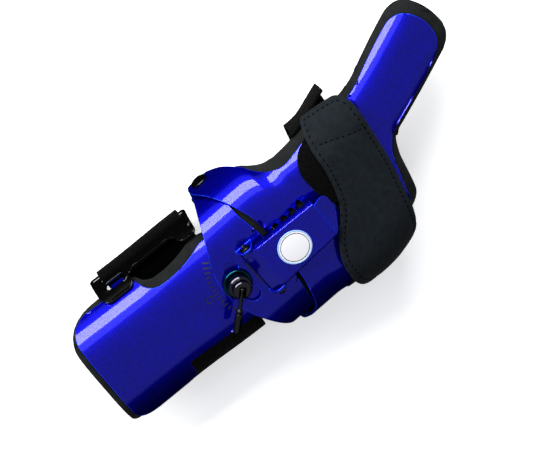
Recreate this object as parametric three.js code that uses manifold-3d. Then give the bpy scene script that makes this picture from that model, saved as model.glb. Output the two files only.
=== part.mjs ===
// Wrist support glove with an index-finger plate, for a right hand, lying palm side down.
// X runs from the elbow to the fingertips, Y to the thumb, Z up from the back of the hand.
// The pieces are placed from the rivet axis, which is the line X = 0, Z = 0 of the inner frame.
import * as THREE from "three";
import { mergeVertices } from "three/addons/utils/BufferGeometryUtils.js";
import Module from "manifold-3d";

const wasm = await Module();
wasm.setup();

// Driving sizes, in millimetres and degrees
const forearmReach = 134; // swivel axis to the rear edge of the forearm plate
const forearmGirth = 47; // crown to the side edge of the forearm plate, along the sheet
const forearmRound = 37; // radius of the forearm plate's sides
const fingerReach = 190; // swivel axis to the tip of the finger plate, along its middle line
const wristSpan = 54.5; // half the width over the wrist plate's wings
const wristFlat = 21; // half the flat crown of the wrist plate
const ulnarReach = 6.5; // extra width of the plates on the little-finger side
const crownHeight = 36; // rivet axis to the top of the wrist plate
const wingRound = 11; // radius of the wing round the rivet
const wingGap = 2.8; // wrist wing to hand wing, filled by the rivet's collar
const fingerHalf = 24; // half the width of the finger plate
const sheetWall = 2;
const foamWall = 3;
const foamMargin = 8; // foam seen beyond the plates
const strapWall = 2;
const tabWall = 2.6;
const touchGap = 0.3;
const floorDrop = 16; // rivet axis to the surface that the straps rest on
const strapCorner = 12; // rounding of the straps where they turn under
const swivelSet = 3.5; // swivel of the wrist plate towards the thumb
const fingerTurn = 19; // turn of the finger plate towards the thumb
const turnStart = 28; // where the middle line starts to turn
const turnLength = 34;
const forearmStrapWidth = 68;
const forearmStrapFront = 28; // swivel axis to the front edge of the forearm strap
const handStrapWidth = 40;
const handStrapStart = 60; // swivel axis to the rear edge of the hand strap
const handStrapSlant = 0.45; // how far it goes forward for each millimetre towards the thumb
const slotPitch = 8;
const slotCount = 4;
const slotWidth = 5;
const slotHalf = 18;
const slotStart = 18.6;
const lockReach = 25; // swivel axis to the lock stud
const lockTravel = 30; // half the sweep of the curved slot
const lockSlotWidth = 10;
const studRadius = 3;
const washerRadius = 10.3;
const knobRadius = 8.3;
const knobTopRadius = 6.4;
const washerHeight = 2.6;
const knobHeight = 6.8;
const knobTopHeight = 5;
const leverReach = 32;
const leverRod = 1.65;
const leverSleeve = 2.75;
const leverSleeveLength = 14.5;
const leverHeading = 229;
const leverDroop = 5;
const coverLength = 47;
const coverRearHalf = 17;
const coverFrontHalf = 14.8;
const coverTop = 12; // top of the cover above the wrist plate
const coverWall = 1.6;
const coverTongue = 10.5;
const coverTongueHalf = 13;
const pinBack = 5.6; // swivel axis to the cover pin
const pinRise = 6.4; // wrist plate to the cover pin
const pinRadius = 0.9;
const pinHead = 3.5;
const lugWall = 2;
const badgeRadius = 12;
const rivetRadius = 6.2;
const rivetDome = 2.6;
const cornerEase = 10; // usual easing of a cut sheet's corners
const buckleReach = 20; // edge of the forearm plate to the bar that the strap goes round
const tabReach = 7; // tab of the forearm plate that hooks into the buckle

// Heights that follow
const handCrown = crownHeight + touchGap + sheetWall;
const handSpan = wristSpan + wingGap + sheetWall;
const armCrown = crownHeight - sheetWall - touchGap;
const padTop = sheetWall + touchGap * 2;
const padBottom = padTop + foamWall;
const radians = THREE.MathUtils.degToRad;

// Forms. Each row is a section: crown height, flat to the thumb side and to the ulnar side,
// and the radius of the sides. at is a share of the reach.
const armForm = {
  reach: forearmReach,
  cell: 18,
  turned: false,
  rows: [
    { at: -1.05, crown: armCrown * 1.04, thumbFlat: 8, ulnarFlat: 8 + ulnarReach, round: forearmRound * 1.03 },
    { at: -0.6, crown: armCrown * 1.015, thumbFlat: 8, ulnarFlat: 8 + ulnarReach, round: forearmRound },
    { at: -0.26, crown: armCrown, thumbFlat: 10, ulnarFlat: 10 + ulnarReach, round: forearmRound * 0.975 },
  ],
};
const wristSide = wristSpan - wristFlat;
const wristForm = {
  reach: forearmReach,
  cell: 24,
  turned: false,
  rows: [
    { at: 0, crown: crownHeight, thumbFlat: wristFlat, ulnarFlat: wristFlat + ulnarReach, round: wristSide },
  ],
};
const handFlat = wristFlat + 3;
const handSide = handSpan - handFlat;
const handForm = {
  reach: fingerReach,
  cell: 13,
  turned: true,
  rows: [
    { at: 0.1, crown: handCrown, thumbFlat: handFlat, ulnarFlat: handFlat + ulnarReach, round: handSide },
    { at: 0.29, crown: handCrown - 2.3, thumbFlat: 18, ulnarFlat: 42, round: 30 },
    { at: 0.5, crown: handCrown - 4.8, thumbFlat: 9, ulnarFlat: 42, round: 26 },
    { at: 0.62, crown: handCrown - 6.8, thumbFlat: 4, ulnarFlat: 8, round: 26 },
    { at: 1.05, crown: handCrown - 14, thumbFlat: 4, ulnarFlat: 8, round: 26 },
  ],
};

function sectionAt(form, along) {
  const share = along / form.reach;
  const rows = form.rows;
  if (share <= rows[0].at) {
    return rows[0];
  }
  for (let i = 1; i < rows.length; i += 1) {
    if (share <= rows[i].at) {
      const t = THREE.MathUtils.smoothstep(share, rows[i - 1].at, rows[i].at);
      const mixed = {};
      for (const key of Object.keys(rows[i])) {
        mixed[key] = THREE.MathUtils.lerp(rows[i - 1][key], rows[i][key], t);
      }
      return mixed;
    }
  }
  return rows[rows.length - 1];
}

// Half the way round a section, from the crown to the middle of the flat underside
function halfRound(section, side) {
  const flat = side > 0 ? section.thumbFlat : section.ulnarFlat;
  const straight = Math.max(section.crown - section.round + floorDrop - strapCorner, 0);
  const quarter = Math.PI / 2;
  const under = flat + section.round - strapCorner;
  return { flat, straight, under, total: flat + quarter * (section.round + strapCorner) + straight + under };
}

// Point on a section: across is measured along the sheet, positive to the thumb, lift is outwards
function sectionPoint(section, across, lift) {
  const side = across < 0 ? -1 : 1;
  const run = Math.abs(across);
  const half = halfRound(section, side);
  const arc = (section.round * Math.PI) / 2;
  const cornerArc = (strapCorner * Math.PI) / 2;
  const sideY = half.flat + section.round;
  const cornerTop = section.crown - section.round - half.straight;
  if (run <= half.flat) {
    return [side * run, section.crown + lift];
  }
  if (run <= half.flat + arc) {
    const angle = (run - half.flat) / section.round;
    const radius = section.round + lift;
    const z = section.crown - section.round + radius * Math.cos(angle);
    return [side * (half.flat + radius * Math.sin(angle)), z];
  }
  if (run <= half.flat + arc + half.straight) {
    return [side * (sideY + lift), section.crown - section.round - (run - half.flat - arc)];
  }
  if (run <= half.flat + arc + half.straight + cornerArc) {
    const angle = (run - half.flat - arc - half.straight) / strapCorner;
    const radius = strapCorner + lift;
    return [side * (sideY - strapCorner + radius * Math.cos(angle)), cornerTop - radius * Math.sin(angle)];
  }
  const under = run - half.flat - arc - half.straight - cornerArc;
  return [side * (sideY - strapCorner - under), cornerTop - strapCorner - lift];
}

// Middle line of the hand form: straight, then an arc, then straight towards the fingertip
function placeSection(form, along, y, z) {
  if (!form.turned || along <= turnStart) {
    return [along, y, z];
  }
  const turn = radians(fingerTurn);
  const radius = turnLength / turn;
  const run = along - turnStart;
  const angle = Math.min(run / radius, turn);
  const rest = Math.max(run - turnLength, 0);
  const x = turnStart + radius * Math.sin(angle) + rest * Math.cos(angle);
  const centre = radius * (1 - Math.cos(angle)) + rest * Math.sin(angle);
  return [x - y * Math.sin(angle), centre + y * Math.cos(angle), z];
}

function formPoint(form, along, across, lift) {
  const [y, z] = sectionPoint(sectionAt(form, along), across, lift);
  return placeSection(form, along, y, z);
}

// Solids
function toSolid(geometry) {
  const bare = geometry.clone();
  for (const name of Object.keys(bare.attributes)) {
    if (name !== "position") {
      bare.deleteAttribute(name);
    }
  }
  const merged = mergeVertices(bare, 1e-4);
  const vertProperties = new Float32Array(merged.attributes.position.array);
  const triVerts = new Uint32Array(merged.index.array);
  return new wasm.Manifold(new wasm.Mesh({ numProp: 3, vertProperties, triVerts }));
}

function toGeometry(solid) {
  const mesh = solid.getMesh();
  const geometry = new THREE.BufferGeometry();
  const places = Float32Array.from(mesh.vertProperties);
  geometry.setAttribute("position", new THREE.Float32BufferAttribute(places, 3));
  geometry.setIndex(Array.from(mesh.triVerts));
  return geometry;
}

// Outline with rounded corners, from rows of corner places, each eased by a share of cornerEase
function roundedShape(corners, steps = 4) {
  const points = [];
  const count = corners.length;
  for (let i = 0; i < count; i += 1) {
    const [before, here, after] = [i + count - 1, i, i + 1].map((k) => {
      const row = corners[k % count];
      return new THREE.Vector2(row.along, row.across);
    });
    const room = Math.min(before.distanceTo(here), after.distanceTo(here)) * 0.49;
    const reach = Math.min(corners[i].ease * cornerEase, room);
    const start = here.clone().add(before.sub(here).setLength(reach));
    const end = here.clone().add(after.sub(here).setLength(reach));
    const curve = new THREE.QuadraticBezierCurve(start, here, end);
    points.push(...curve.getPoints(reach < cornerEase * 0.3 ? 2 : steps));
  }
  return new THREE.Shape(points);
}

// Closed slab with a grid of cells on its two faces, each cell with a face number of its own,
// so that the cells stay when an outline is cut from it
function gridSlab(box, alongCells, acrossCells, bottom, top) {
  const vertices = [];
  const triangles = [];
  const faces = [];
  const stride = acrossCells + 1;
  const layer = (alongCells + 1) * stride;
  for (const height of [bottom, top]) {
    for (let i = 0; i <= alongCells; i += 1) {
      for (let j = 0; j <= acrossCells; j += 1) {
        vertices.push(THREE.MathUtils.lerp(box.min.x, box.max.x, i / alongCells));
        vertices.push(THREE.MathUtils.lerp(box.min.y, box.max.y, j / acrossCells));
        vertices.push(height);
      }
    }
  }
  let face = 1;
  const quad = (a, b, c, d) => {
    triangles.push(a, b, c, a, c, d);
    faces.push(face, face);
    face += 1;
  };
  for (let i = 0; i < alongCells; i += 1) {
    for (let j = 0; j < acrossCells; j += 1) {
      const corner = i * stride + j;
      quad(corner, corner + 1, corner + stride + 1, corner + stride);
      quad(layer + corner, layer + corner + stride, layer + corner + stride + 1, layer + corner + 1);
    }
  }
  for (let i = 0; i < alongCells; i += 1) {
    const near = i * stride;
    const far = near + acrossCells;
    quad(near, near + stride, layer + near + stride, layer + near);
    quad(far + stride, far, layer + far, layer + far + stride);
  }
  for (let j = 0; j < acrossCells; j += 1) {
    const low = j;
    const high = alongCells * stride + j;
    quad(low + 1, low, layer + low, layer + low + 1);
    quad(high, high + 1, layer + high + 1, layer + high);
  }
  const mesh = new wasm.Mesh({
    numProp: 3,
    vertProperties: Float32Array.from(vertices),
    triVerts: Uint32Array.from(triangles),
    faceID: Uint32Array.from(faces),
  });
  return new wasm.Manifold(mesh);
}

// Sheet cut to an outline, with holes, and then bent over a form
function bentSheet(form, corners, bottom, top, holes = []) {
  const shape = roundedShape(corners);
  const flat = new THREE.ExtrudeGeometry(shape, { depth: top - bottom + 4, bevelEnabled: false });
  flat.translate(0, 0, bottom - 2);
  flat.computeBoundingBox();
  const box = flat.boundingBox.clone();
  const alongCell = form.cell;
  const acrossCell = 7.2;
  const cell = new THREE.Vector3(alongCell, acrossCell, 1);
  box.min.divide(cell).floor().multiply(cell);
  box.max.divide(cell).ceil().multiply(cell);
  const alongCells = Math.round((box.max.x - box.min.x) / alongCell);
  const acrossCells = Math.round((box.max.y - box.min.y) / acrossCell);
  let blank = gridSlab(box, alongCells, acrossCells, bottom, top).intersect(toSolid(flat));
  for (const hole of holes) {
    const cutter = new THREE.ExtrudeGeometry(hole, { depth: top - bottom + 4, bevelEnabled: false });
    cutter.translate(0, 0, bottom - 2);
    blank = blank.subtract(toSolid(cutter));
  }
  const geometry = toGeometry(blank);
  const place = geometry.attributes.position;
  for (let i = 0; i < place.count; i += 1) {
    const [x, y, z] = formPoint(form, place.getX(i), place.getY(i), place.getZ(i));
    place.setXYZ(i, x, y, z);
  }
  return geometry;
}

// Places along half a section past start, close together only where it curves
function strideMarks(half, start, arcSteps) {
  const marks = [];
  const corner = (strapCorner * Math.PI) / 2;
  const cornerStart = half.total - half.under - corner;
  const sideStart = Math.max(cornerStart - half.straight, start);
  for (let i = 1; i <= arcSteps; i += 1) {
    marks.push(THREE.MathUtils.lerp(start, sideStart + 0.01, i / arcSteps));
  }
  marks.push(THREE.MathUtils.lerp(marks[marks.length - 1], cornerStart + 0.02, 0.99));
  for (let i = 1; i <= 4; i += 1) {
    marks.push(cornerStart + 0.03 + (corner * i) / 4);
  }
  marks.push(half.total - half.under * 0.5, half.total);
  return marks;
}

// Strap: line gives across and lift values for a section, and the strap has a wall on that line.
// slant carries the strap along the form as it goes to the side, so that it lies in a turned plane.
function sweptStrap(form, rearEdge, frontEdge, line, wall, cells, slant = 0) {
  const vertices = [];
  const triangles = [];
  let count = 0;
  for (let i = 0; i <= cells; i += 1) {
    const along = THREE.MathUtils.lerp(rearEdge, frontEdge, i / cells);
    const rough = line(sectionAt(form, along)).map(([a, l]) => sectionPoint(sectionAt(form, along), a, l));
    const steps = rough.map(([y]) => along + slant * y);
    const middle = rough.map((_, k) => {
      const section = sectionAt(form, steps[k]);
      return sectionPoint(section, ...line(section)[k]);
    });
    const profile = thickLine(middle, wall);
    count = profile.length;
    const stations = [...steps, ...steps.slice().reverse()];
    profile.forEach(([y, z], k) => vertices.push(...placeSection(form, stations[k], y, z)));
  }
  for (let i = 0; i < cells; i += 1) {
    for (let j = 0; j < count; j += 1) {
      const a = i * count + j;
      const b = i * count + ((j + 1) % count);
      triangles.push(a, b, b + count, a, b + count, a + count);
    }
  }
  const last = cells * count;
  for (let k = 0; k < count / 2 - 1; k += 1) {
    const [a, b, c, d] = [k, k + 1, count - 2 - k, count - 1 - k];
    triangles.push(a, c, b, a, d, c);
    triangles.push(last + a, last + b, last + c, last + a, last + c, last + d);
  }
  return outward(closedGeometry(vertices, triangles));
}

function closedGeometry(vertices, triangles) {
  const geometry = new THREE.BufferGeometry();
  geometry.setAttribute("position", new THREE.Float32BufferAttribute(vertices, 3));
  geometry.setIndex(triangles);
  return geometry;
}

// A line with a thickness, as a closed outline
function thickLine(line, wall) {
  const left = [];
  const right = [];
  for (let i = 0; i < line.length; i += 1) {
    const before = line[Math.max(i - 1, 0)];
    const after = line[Math.min(i + 1, line.length - 1)];
    const direction = new THREE.Vector2(after[0] - before[0], after[1] - before[1]).normalize();
    const side = new THREE.Vector2(-direction.y, direction.x).multiplyScalar(wall / 2);
    left.push([line[i][0] + side.x, line[i][1] + side.y]);
    right.push([line[i][0] - side.x, line[i][1] - side.y]);
  }
  return [...left, ...right.reverse()];
}

// Turns a closed surface outwards if it is inside out
function outward(geometry) {
  const place = geometry.attributes.position;
  const index = geometry.index.array;
  let volume = 0;
  const a = new THREE.Vector3();
  const b = new THREE.Vector3();
  const c = new THREE.Vector3();
  for (let i = 0; i < index.length; i += 3) {
    a.fromBufferAttribute(place, index[i]);
    b.fromBufferAttribute(place, index[i + 1]);
    c.fromBufferAttribute(place, index[i + 2]);
    volume += a.dot(b.cross(c));
  }
  if (volume < 0) {
    const flipped = Array.from(index);
    for (let i = 0; i < flipped.length; i += 3) {
      [flipped[i + 1], flipped[i + 2]] = [flipped[i + 2], flipped[i + 1]];
    }
    geometry.setIndex(flipped);
  }
  return geometry;
}

function cylinder(radius, height, x, y, z, sides = 24, topRadius = radius) {
  const geometry = new THREE.CylinderGeometry(topRadius, radius, height, sides);
  geometry.rotateX(Math.PI / 2);
  geometry.translate(x, y, z + height / 2);
  return geometry;
}

function crossPin(radius, from, to, x, z, sides = 16) {
  const geometry = new THREE.CylinderGeometry(radius, radius, to - from, sides);
  geometry.translate(x, (from + to) / 2, z);
  return geometry;
}

// Groups and finishes
const glove = new THREE.Group();
const turning = new THREE.Group();
turning.rotation.z = radians(swivelSet);
glove.add(turning);

const finishes = {
  bluePlate: new THREE.MeshStandardMaterial({ color: 0x1414b4, roughness: 0.2, metalness: 0.6 }),
  foam: new THREE.MeshStandardMaterial({ color: 0x262a2a, roughness: 0.95, metalness: 0 }),
  neoprene: new THREE.MeshStandardMaterial({ color: 0x141c21, roughness: 0.8, metalness: 0 }),
  loopPile: new THREE.MeshStandardMaterial({ color: 0x0c0c0c, roughness: 1, metalness: 0 }),
  blackSteel: new THREE.MeshStandardMaterial({ color: 0x0a0a0b, roughness: 0.25, metalness: 0.5 }),
  brightSteel: new THREE.MeshStandardMaterial({ color: 0x55585c, roughness: 0.2, metalness: 1 }),
  whiteEnamel: new THREE.MeshStandardMaterial({ color: 0xf2f2f0, roughness: 0.35, metalness: 0 }),
};

function piece(name, geometry, finish, parent) {
  const mesh = new THREE.Mesh(geometry, finish.clone());
  mesh.name = name;
  parent.add(mesh);
}

function corner(along, across, ease) {
  return { along, across, ease };
}

// Forearm plate: two rear lobes, a bay on the thumb side, a straight cut on the ulnar side
const armTongueHalf = 13;
const bayDepth = forearmGirth * 0.66;
const ulnarCut = forearmGirth * 0.62;
const tabHalf = 5.5;
const armRear = -forearmStrapFront - forearmStrapWidth - 1;
const armFront = -forearmStrapFront + 1;
const earMiddle = armRear + buckleReach * 0.45;
const forearmOutline = [
  corner(-forearmReach, forearmGirth * 1.06, 4.6),
  corner(earMiddle - tabHalf, forearmGirth, 0.06),
  corner(earMiddle - tabHalf, forearmGirth + tabReach, 0.2),
  corner(earMiddle + tabHalf, forearmGirth + tabReach, 0.2),
  corner(earMiddle + tabHalf, forearmGirth, 0.06),
  corner(-forearmReach * 0.585, forearmGirth, 0.8),
  corner(-forearmReach * 0.55, bayDepth, 1.2),
  corner(-forearmReach * 0.36, bayDepth * 0.97, 2),
  corner(-forearmReach * 0.17, forearmGirth * 0.84, 0.8),
  corner(-forearmReach * 0.06, forearmGirth * 0.45, 0.8),
  corner(armTongueHalf, armTongueHalf, armTongueHalf),
  corner(armTongueHalf, -armTongueHalf, armTongueHalf),
  corner(-forearmReach * 0.06, -forearmGirth * 0.45, 0.8),
  corner(-forearmReach * 0.14, -ulnarCut * 1.05, 0.6),
  corner(-forearmReach * 0.62, -ulnarCut * 0.93, 0.3),
  corner(-forearmReach * 0.64, -forearmGirth * 1.02 - ulnarReach, 1.2),
  corner(-forearmReach, -forearmGirth * 1.06 - ulnarReach, 4.6),
];
function discShape(radius, x, y, sides = 12) {
  const shape = new THREE.Shape();
  shape.absarc(x, y, radius, 0, Math.PI * 2);
  return new THREE.Shape(shape.getPoints(sides).slice(0, -1));
}
piece(
  "forearm_plate",
  bentSheet(armForm, forearmOutline, -sheetWall, 0, [
    discShape(studRadius + touchGap, -lockReach, 0),
    discShape(studRadius + touchGap, 0, 0),
  ]),
  finishes.bluePlate,
  glove,
);

// Forearm pad: it shows as a border round the plate, and ends beside the strap on the ulnar side
const strapStart = -forearmGirth * 0.43;
const padOutline = [
  corner(-forearmReach - foamMargin * 0.55, forearmGirth + foamMargin, 5),
  corner(-forearmReach * 0.58, forearmGirth + foamMargin, 0.8),
  corner(-forearmReach * 0.545, bayDepth + foamMargin * 1.05, 1.2),
  corner(-forearmReach * 0.36, bayDepth + foamMargin, 2),
  corner(-forearmReach * 0.2, forearmGirth + foamMargin * 0.2, 1),
  corner(-forearmReach * 0.04, forearmGirth * 0.6, 1.4),
  corner(0, forearmGirth * 0.2, 0.6),
  corner(0, strapStart + touchGap, 0.6),
  corner(armRear, strapStart + touchGap, 0.2),
  corner(armRear, -forearmGirth - foamMargin - ulnarReach, 0.8),
  corner(-forearmReach - foamMargin * 0.55, -forearmGirth - foamMargin - ulnarReach, 5),
];
piece("forearm_pad", bentSheet(armForm, padOutline, -padBottom, -padTop), finishes.foam, glove);

// Buckle: a curved frame with two ears over the plate, a bar that the strap goes round, and a hole for the tab
const buckleWall = 2.5;
const buckleBar = forearmGirth + buckleReach;
const barHalf = 3.5;
const tabRoom = tabHalf + 2;
const buckleOutline = [
  corner(armRear - tabReach, forearmGirth + tabReach * 0.14, 0.5),
  corner(armRear - tabReach * 0.57, forearmGirth - tabReach * 0.86, 0.4),
  corner(earMiddle + tabHalf * 1.73, forearmGirth - tabReach * 0.86, 0.5),
  corner(earMiddle + tabHalf * 2.1, buckleBar - buckleReach * 0.68, 0.5),
  corner(armFront - tabReach * 2, buckleBar - buckleReach * 0.68, 0.5),
  corner(armFront - tabReach * 1.57, forearmGirth - tabReach * 0.43, 0.4),
  corner(armFront + tabReach * 0.3, forearmGirth - tabReach * 0.43, 0.4),
  corner(armFront + tabReach * 0.57, buckleBar + barHalf, 0.3),
  corner(armRear - tabReach, buckleBar + barHalf, 0.3),
];
function boxShape(fromX, toX, fromY, toY, ease) {
  return roundedShape([
    corner(fromX, fromY, ease),
    corner(toX, fromY, ease),
    corner(toX, toY, ease),
    corner(fromX, toY, ease),
  ]);
}
piece(
  "buckle_frame",
  bentSheet(armForm, buckleOutline, touchGap, touchGap + buckleWall, [
    boxShape(armRear, armFront, buckleBar - barHalf * 1.95, buckleBar - barHalf, 0.1),
    boxShape(earMiddle - tabRoom, earMiddle + tabRoom, forearmGirth + 2, forearmGirth + tabReach + 1.5, 0.25),
  ]),
  finishes.blackSteel,
  glove,
);

// Forearm strap: from under the plate, round the ulnar side and below, up inside the buckle,
// over its bar and back below, where its free end lies on the first layer
const outerLift = -strapWall / 2;
const innerLift = outerLift - strapWall - touchGap;
const barLift = touchGap + buckleWall / 2;
const barTurn = Math.hypot(barHalf, buckleWall / 2) + touchGap + strapWall / 2;
function forearmStrapLine(section) {
  const ulnar = halfRound(section, -1);
  const thumb = halfRound(section, 1);
  const line = [[strapStart, innerLift]];
  for (const across of strideMarks(ulnar, -strapStart, 8)) {
    line.push([-across, innerLift]);
  }
  const inside = strideMarks(thumb, buckleBar, 1).reverse();
  inside.slice(1).forEach((across, i) => {
    const rise = THREE.MathUtils.smoothstep(i, 1, 5);
    line.push([across, THREE.MathUtils.lerp(innerLift, barLift - barTurn, rise)]);
  });
  line.push([buckleBar, barLift - barTurn]);
  for (let i = 1; i <= 7; i += 1) {
    const angle = (Math.PI * i) / 8;
    line.push([buckleBar - barTurn * Math.sin(angle), barLift - barTurn * Math.cos(angle)]);
  }
  line.push([buckleBar, barLift + barTurn]);
  strideMarks(thumb, buckleBar, 1).forEach((across, i) => {
    const fall = THREE.MathUtils.smoothstep(i, 0, 5);
    line.push([across, THREE.MathUtils.lerp(barLift + barTurn, outerLift, fall)]);
  });
  for (let i = 1; i <= 3; i += 1) {
    line.push([-ulnar.total + (ulnar.under * i) / 3, outerLift]);
  }
  return line;
}
piece(
  "forearm_strap",
  sweptStrap(armForm, armRear + 1, armFront - 1, forearmStrapLine, strapWall, 4),
  finishes.loopPile,
  glove,
);

// Swivel screw and lock stud with its washer
const screwHead = 0.7;
const plateTop = crownHeight + touchGap;
const studFoot = armCrown - sheetWall;
function steppedPin(headRadius, headHeight, x, y) {
  const foot = studFoot;
  const profile = [
    new THREE.Vector2(0, foot),
    new THREE.Vector2(studRadius, foot),
    new THREE.Vector2(studRadius, plateTop),
    new THREE.Vector2(headRadius, plateTop),
    new THREE.Vector2(headRadius, plateTop + headHeight * 0.7),
    new THREE.Vector2(headRadius - headHeight * 0.3, plateTop + headHeight),
    new THREE.Vector2(0, plateTop + headHeight),
  ];
  const geometry = new THREE.LatheGeometry(profile, 20);
  geometry.rotateX(Math.PI / 2);
  geometry.translate(x, y, 0);
  return geometry;
}
piece("pivot_screw", steppedPin(studRadius + 1, screwHead, 0, 0), finishes.brightSteel, glove);
piece("lock_stud", steppedPin(washerRadius, washerHeight, -lockReach, 0), finishes.blackSteel, glove);

// Lock knob: body and a top disc with a notch in which the lever folds
const knobBase = plateTop + washerHeight + touchGap;
const knobTop = knobBase + knobHeight + knobTopHeight;
const leverHeight = knobTop - leverRod - 0.6;
const heading = radians(leverHeading);
function knobSolid() {
  const edge = 1;
  const profile = [
    new THREE.Vector2(0, 0),
    new THREE.Vector2(knobRadius - edge, 0),
    new THREE.Vector2(knobRadius, edge),
    new THREE.Vector2(knobRadius, knobHeight - edge),
    new THREE.Vector2(knobRadius - edge, knobHeight),
    new THREE.Vector2(knobTopRadius, knobHeight),
    new THREE.Vector2(knobTopRadius, knobHeight + knobTopHeight - edge),
    new THREE.Vector2(knobTopRadius - edge, knobHeight + knobTopHeight),
    new THREE.Vector2(0, knobHeight + knobTopHeight),
  ];
  const body = new THREE.LatheGeometry(profile, 28);
  body.rotateX(Math.PI / 2);
  const notch = new THREE.BoxGeometry(knobTopRadius * 2, leverRod * 2 + 1.4, knobTopHeight * 2);
  notch.translate(knobTopRadius - leverRod - 0.9, 0, knobHeight + knobTopHeight + 0.2);
  notch.rotateZ(heading);
  const solid = toSolid(body).subtract(toSolid(notch));
  const geometry = toGeometry(solid);
  geometry.translate(-lockReach, 0, knobBase);
  return geometry;
}
piece("lock_knob", knobSolid(), finishes.blackSteel, glove);

// Lever: rod with a ball at its pin, and a sleeve on its end
const lever = new THREE.Group();
lever.position.set(-lockReach, 0, leverHeight);
lever.rotation.set(0, radians(leverDroop), heading, "ZYX");
glove.add(lever);
const rodEnd = leverReach - leverSleeveLength - touchGap;
const rod = new THREE.LatheGeometry(
  [
    new THREE.Vector2(0, -leverRod),
    new THREE.Vector2(leverRod, -leverRod * 0.6),
    new THREE.Vector2(leverRod, rodEnd - 2.4),
    new THREE.Vector2(leverSleeve * 0.9, rodEnd - 2.2),
    new THREE.Vector2(leverSleeve * 0.9, rodEnd),
    new THREE.Vector2(0, rodEnd),
  ],
  14,
);
rod.rotateZ(-Math.PI / 2);
piece("lever_rod", rod, finishes.blackSteel, lever);
const sleeve = new THREE.LatheGeometry(
  [
    new THREE.Vector2(0, rodEnd + touchGap),
    new THREE.Vector2(leverSleeve, rodEnd + touchGap),
    new THREE.Vector2(leverSleeve, leverReach - 0.8),
    new THREE.Vector2(leverSleeve - 0.8, leverReach),
    new THREE.Vector2(0, leverReach),
  ],
  14,
);
sleeve.rotateZ(-Math.PI / 2);
piece("lever_sleeve", sleeve, finishes.blackSteel, lever);

// Wrist plate: a saddle with a wing down each side, the curved slot, and two lugs for the cover pin
const wristRivet = wristFlat + (wristSide * Math.PI) / 2 + crownHeight - wristSide;
const wristRear = lockReach + lockSlotWidth / 2 + 5.5;
function mirrored(corners) {
  const other = corners.map(({ along, across, ease }) => {
    const reach = across > wristFlat ? ulnarReach : 0;
    return corner(along, -across - reach, ease);
  });
  return [...corners, ...other.reverse()];
}
const wristOutline = mirrored([
  corner(-wristRear, wristFlat * 0.7, 1.2),
  corner(-wristRear * 0.56, wristSpan * 0.8, 1.4),
  corner(-wristRear * 0.36, wristRivet * 0.84, 2),
  corner(-wingRound, wristRivet - wingRound * 0.3, 0.6),
  corner(-wingRound, wristRivet + wingRound, wingRound),
  corner(wingRound, wristRivet + wingRound, wingRound),
  corner(wingRound, wristRivet - wingRound * 0.6, 0.8),
  corner(3.5, wristSpan * 0.84, 1.4),
  corner(8.6, wristFlat * 0.86, 1),
]);
function lockSlot() {
  const half = radians(lockTravel);
  const shape = new THREE.Shape();
  const end = lockSlotWidth / 2;
  shape.absarc(0, 0, lockReach + end, Math.PI - half, Math.PI + half, false);
  shape.absarc(-lockReach * Math.cos(half), -lockReach * Math.sin(half), end, Math.PI + half, half, false);
  shape.absarc(0, 0, lockReach - end, Math.PI + half, Math.PI - half, true);
  shape.absarc(-lockReach * Math.cos(half), lockReach * Math.sin(half), end, -half, Math.PI - half, false);
  return new THREE.Shape(shape.getPoints(8));
}
const pinHeight = crownHeight + pinRise;
const lugInner = coverRearHalf + touchGap;
function lug(side) {
  const lugTop = pinHead * 1.15;
  const outline = roundedShape([
    corner(-pinBack - pinRise, crownHeight - sheetWall * 0.5, 0.01),
    corner(-pinBack + pinRise, crownHeight - sheetWall * 0.5, 0.01),
    corner(-pinBack + lugTop * 1.15, pinHeight + lugTop, 0.4),
    corner(-pinBack - lugTop * 1.15, pinHeight + lugTop, 0.4),
  ]);
  const geometry = new THREE.ExtrudeGeometry(outline, { depth: lugWall, bevelEnabled: false });
  geometry.rotateX(Math.PI / 2);
  geometry.translate(0, side > 0 ? lugInner + lugWall : -lugInner, 0);
  return toSolid(geometry);
}
function pinHole() {
  return toSolid(crossPin(pinRadius + touchGap, -lugInner - 10, lugInner + 10, -pinBack, pinHeight));
}
const rivetShank = 2.2;
const wristSheet = bentSheet(wristForm, wristOutline, -sheetWall, 0, [
  lockSlot(),
  discShape(studRadius + touchGap, 0, 0),
  discShape(rivetShank + touchGap, 0, wristRivet),
  discShape(rivetShank + touchGap, 0, -wristRivet - ulnarReach),
]);
piece(
  "wrist_plate",
  toGeometry(toSolid(wristSheet).add(lug(1)).add(lug(-1)).subtract(pinHole())),
  finishes.bluePlate,
  turning,
);

// Foam inside the wings, seen past their rear edges
function wingPadOutline(side) {
  const middle = side > 0 ? wristRivet : wristRivet + ulnarReach;
  return [
    corner(-wingRound * 1.09, side * (middle - wingRound * 1.2), 0.5),
    corner(-wingRound * 1.16, side * (middle + wingRound * 0.9), 0.8),
    corner(wingRound, side * (middle + wingRound * 0.9), 0.8),
    corner(wingRound, side * (middle - wingRound * 1.2), 0.6),
  ];
}
const wingPadWall = 1.3;
for (const [name, side] of [["wing_pad_thumb", 1], ["wing_pad_ulnar", -1]]) {
  const sheet = bentSheet(wristForm, wingPadOutline(side), -padTop - wingPadWall, -padTop);
  piece(name, sheet, finishes.foam, turning);
}

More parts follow.
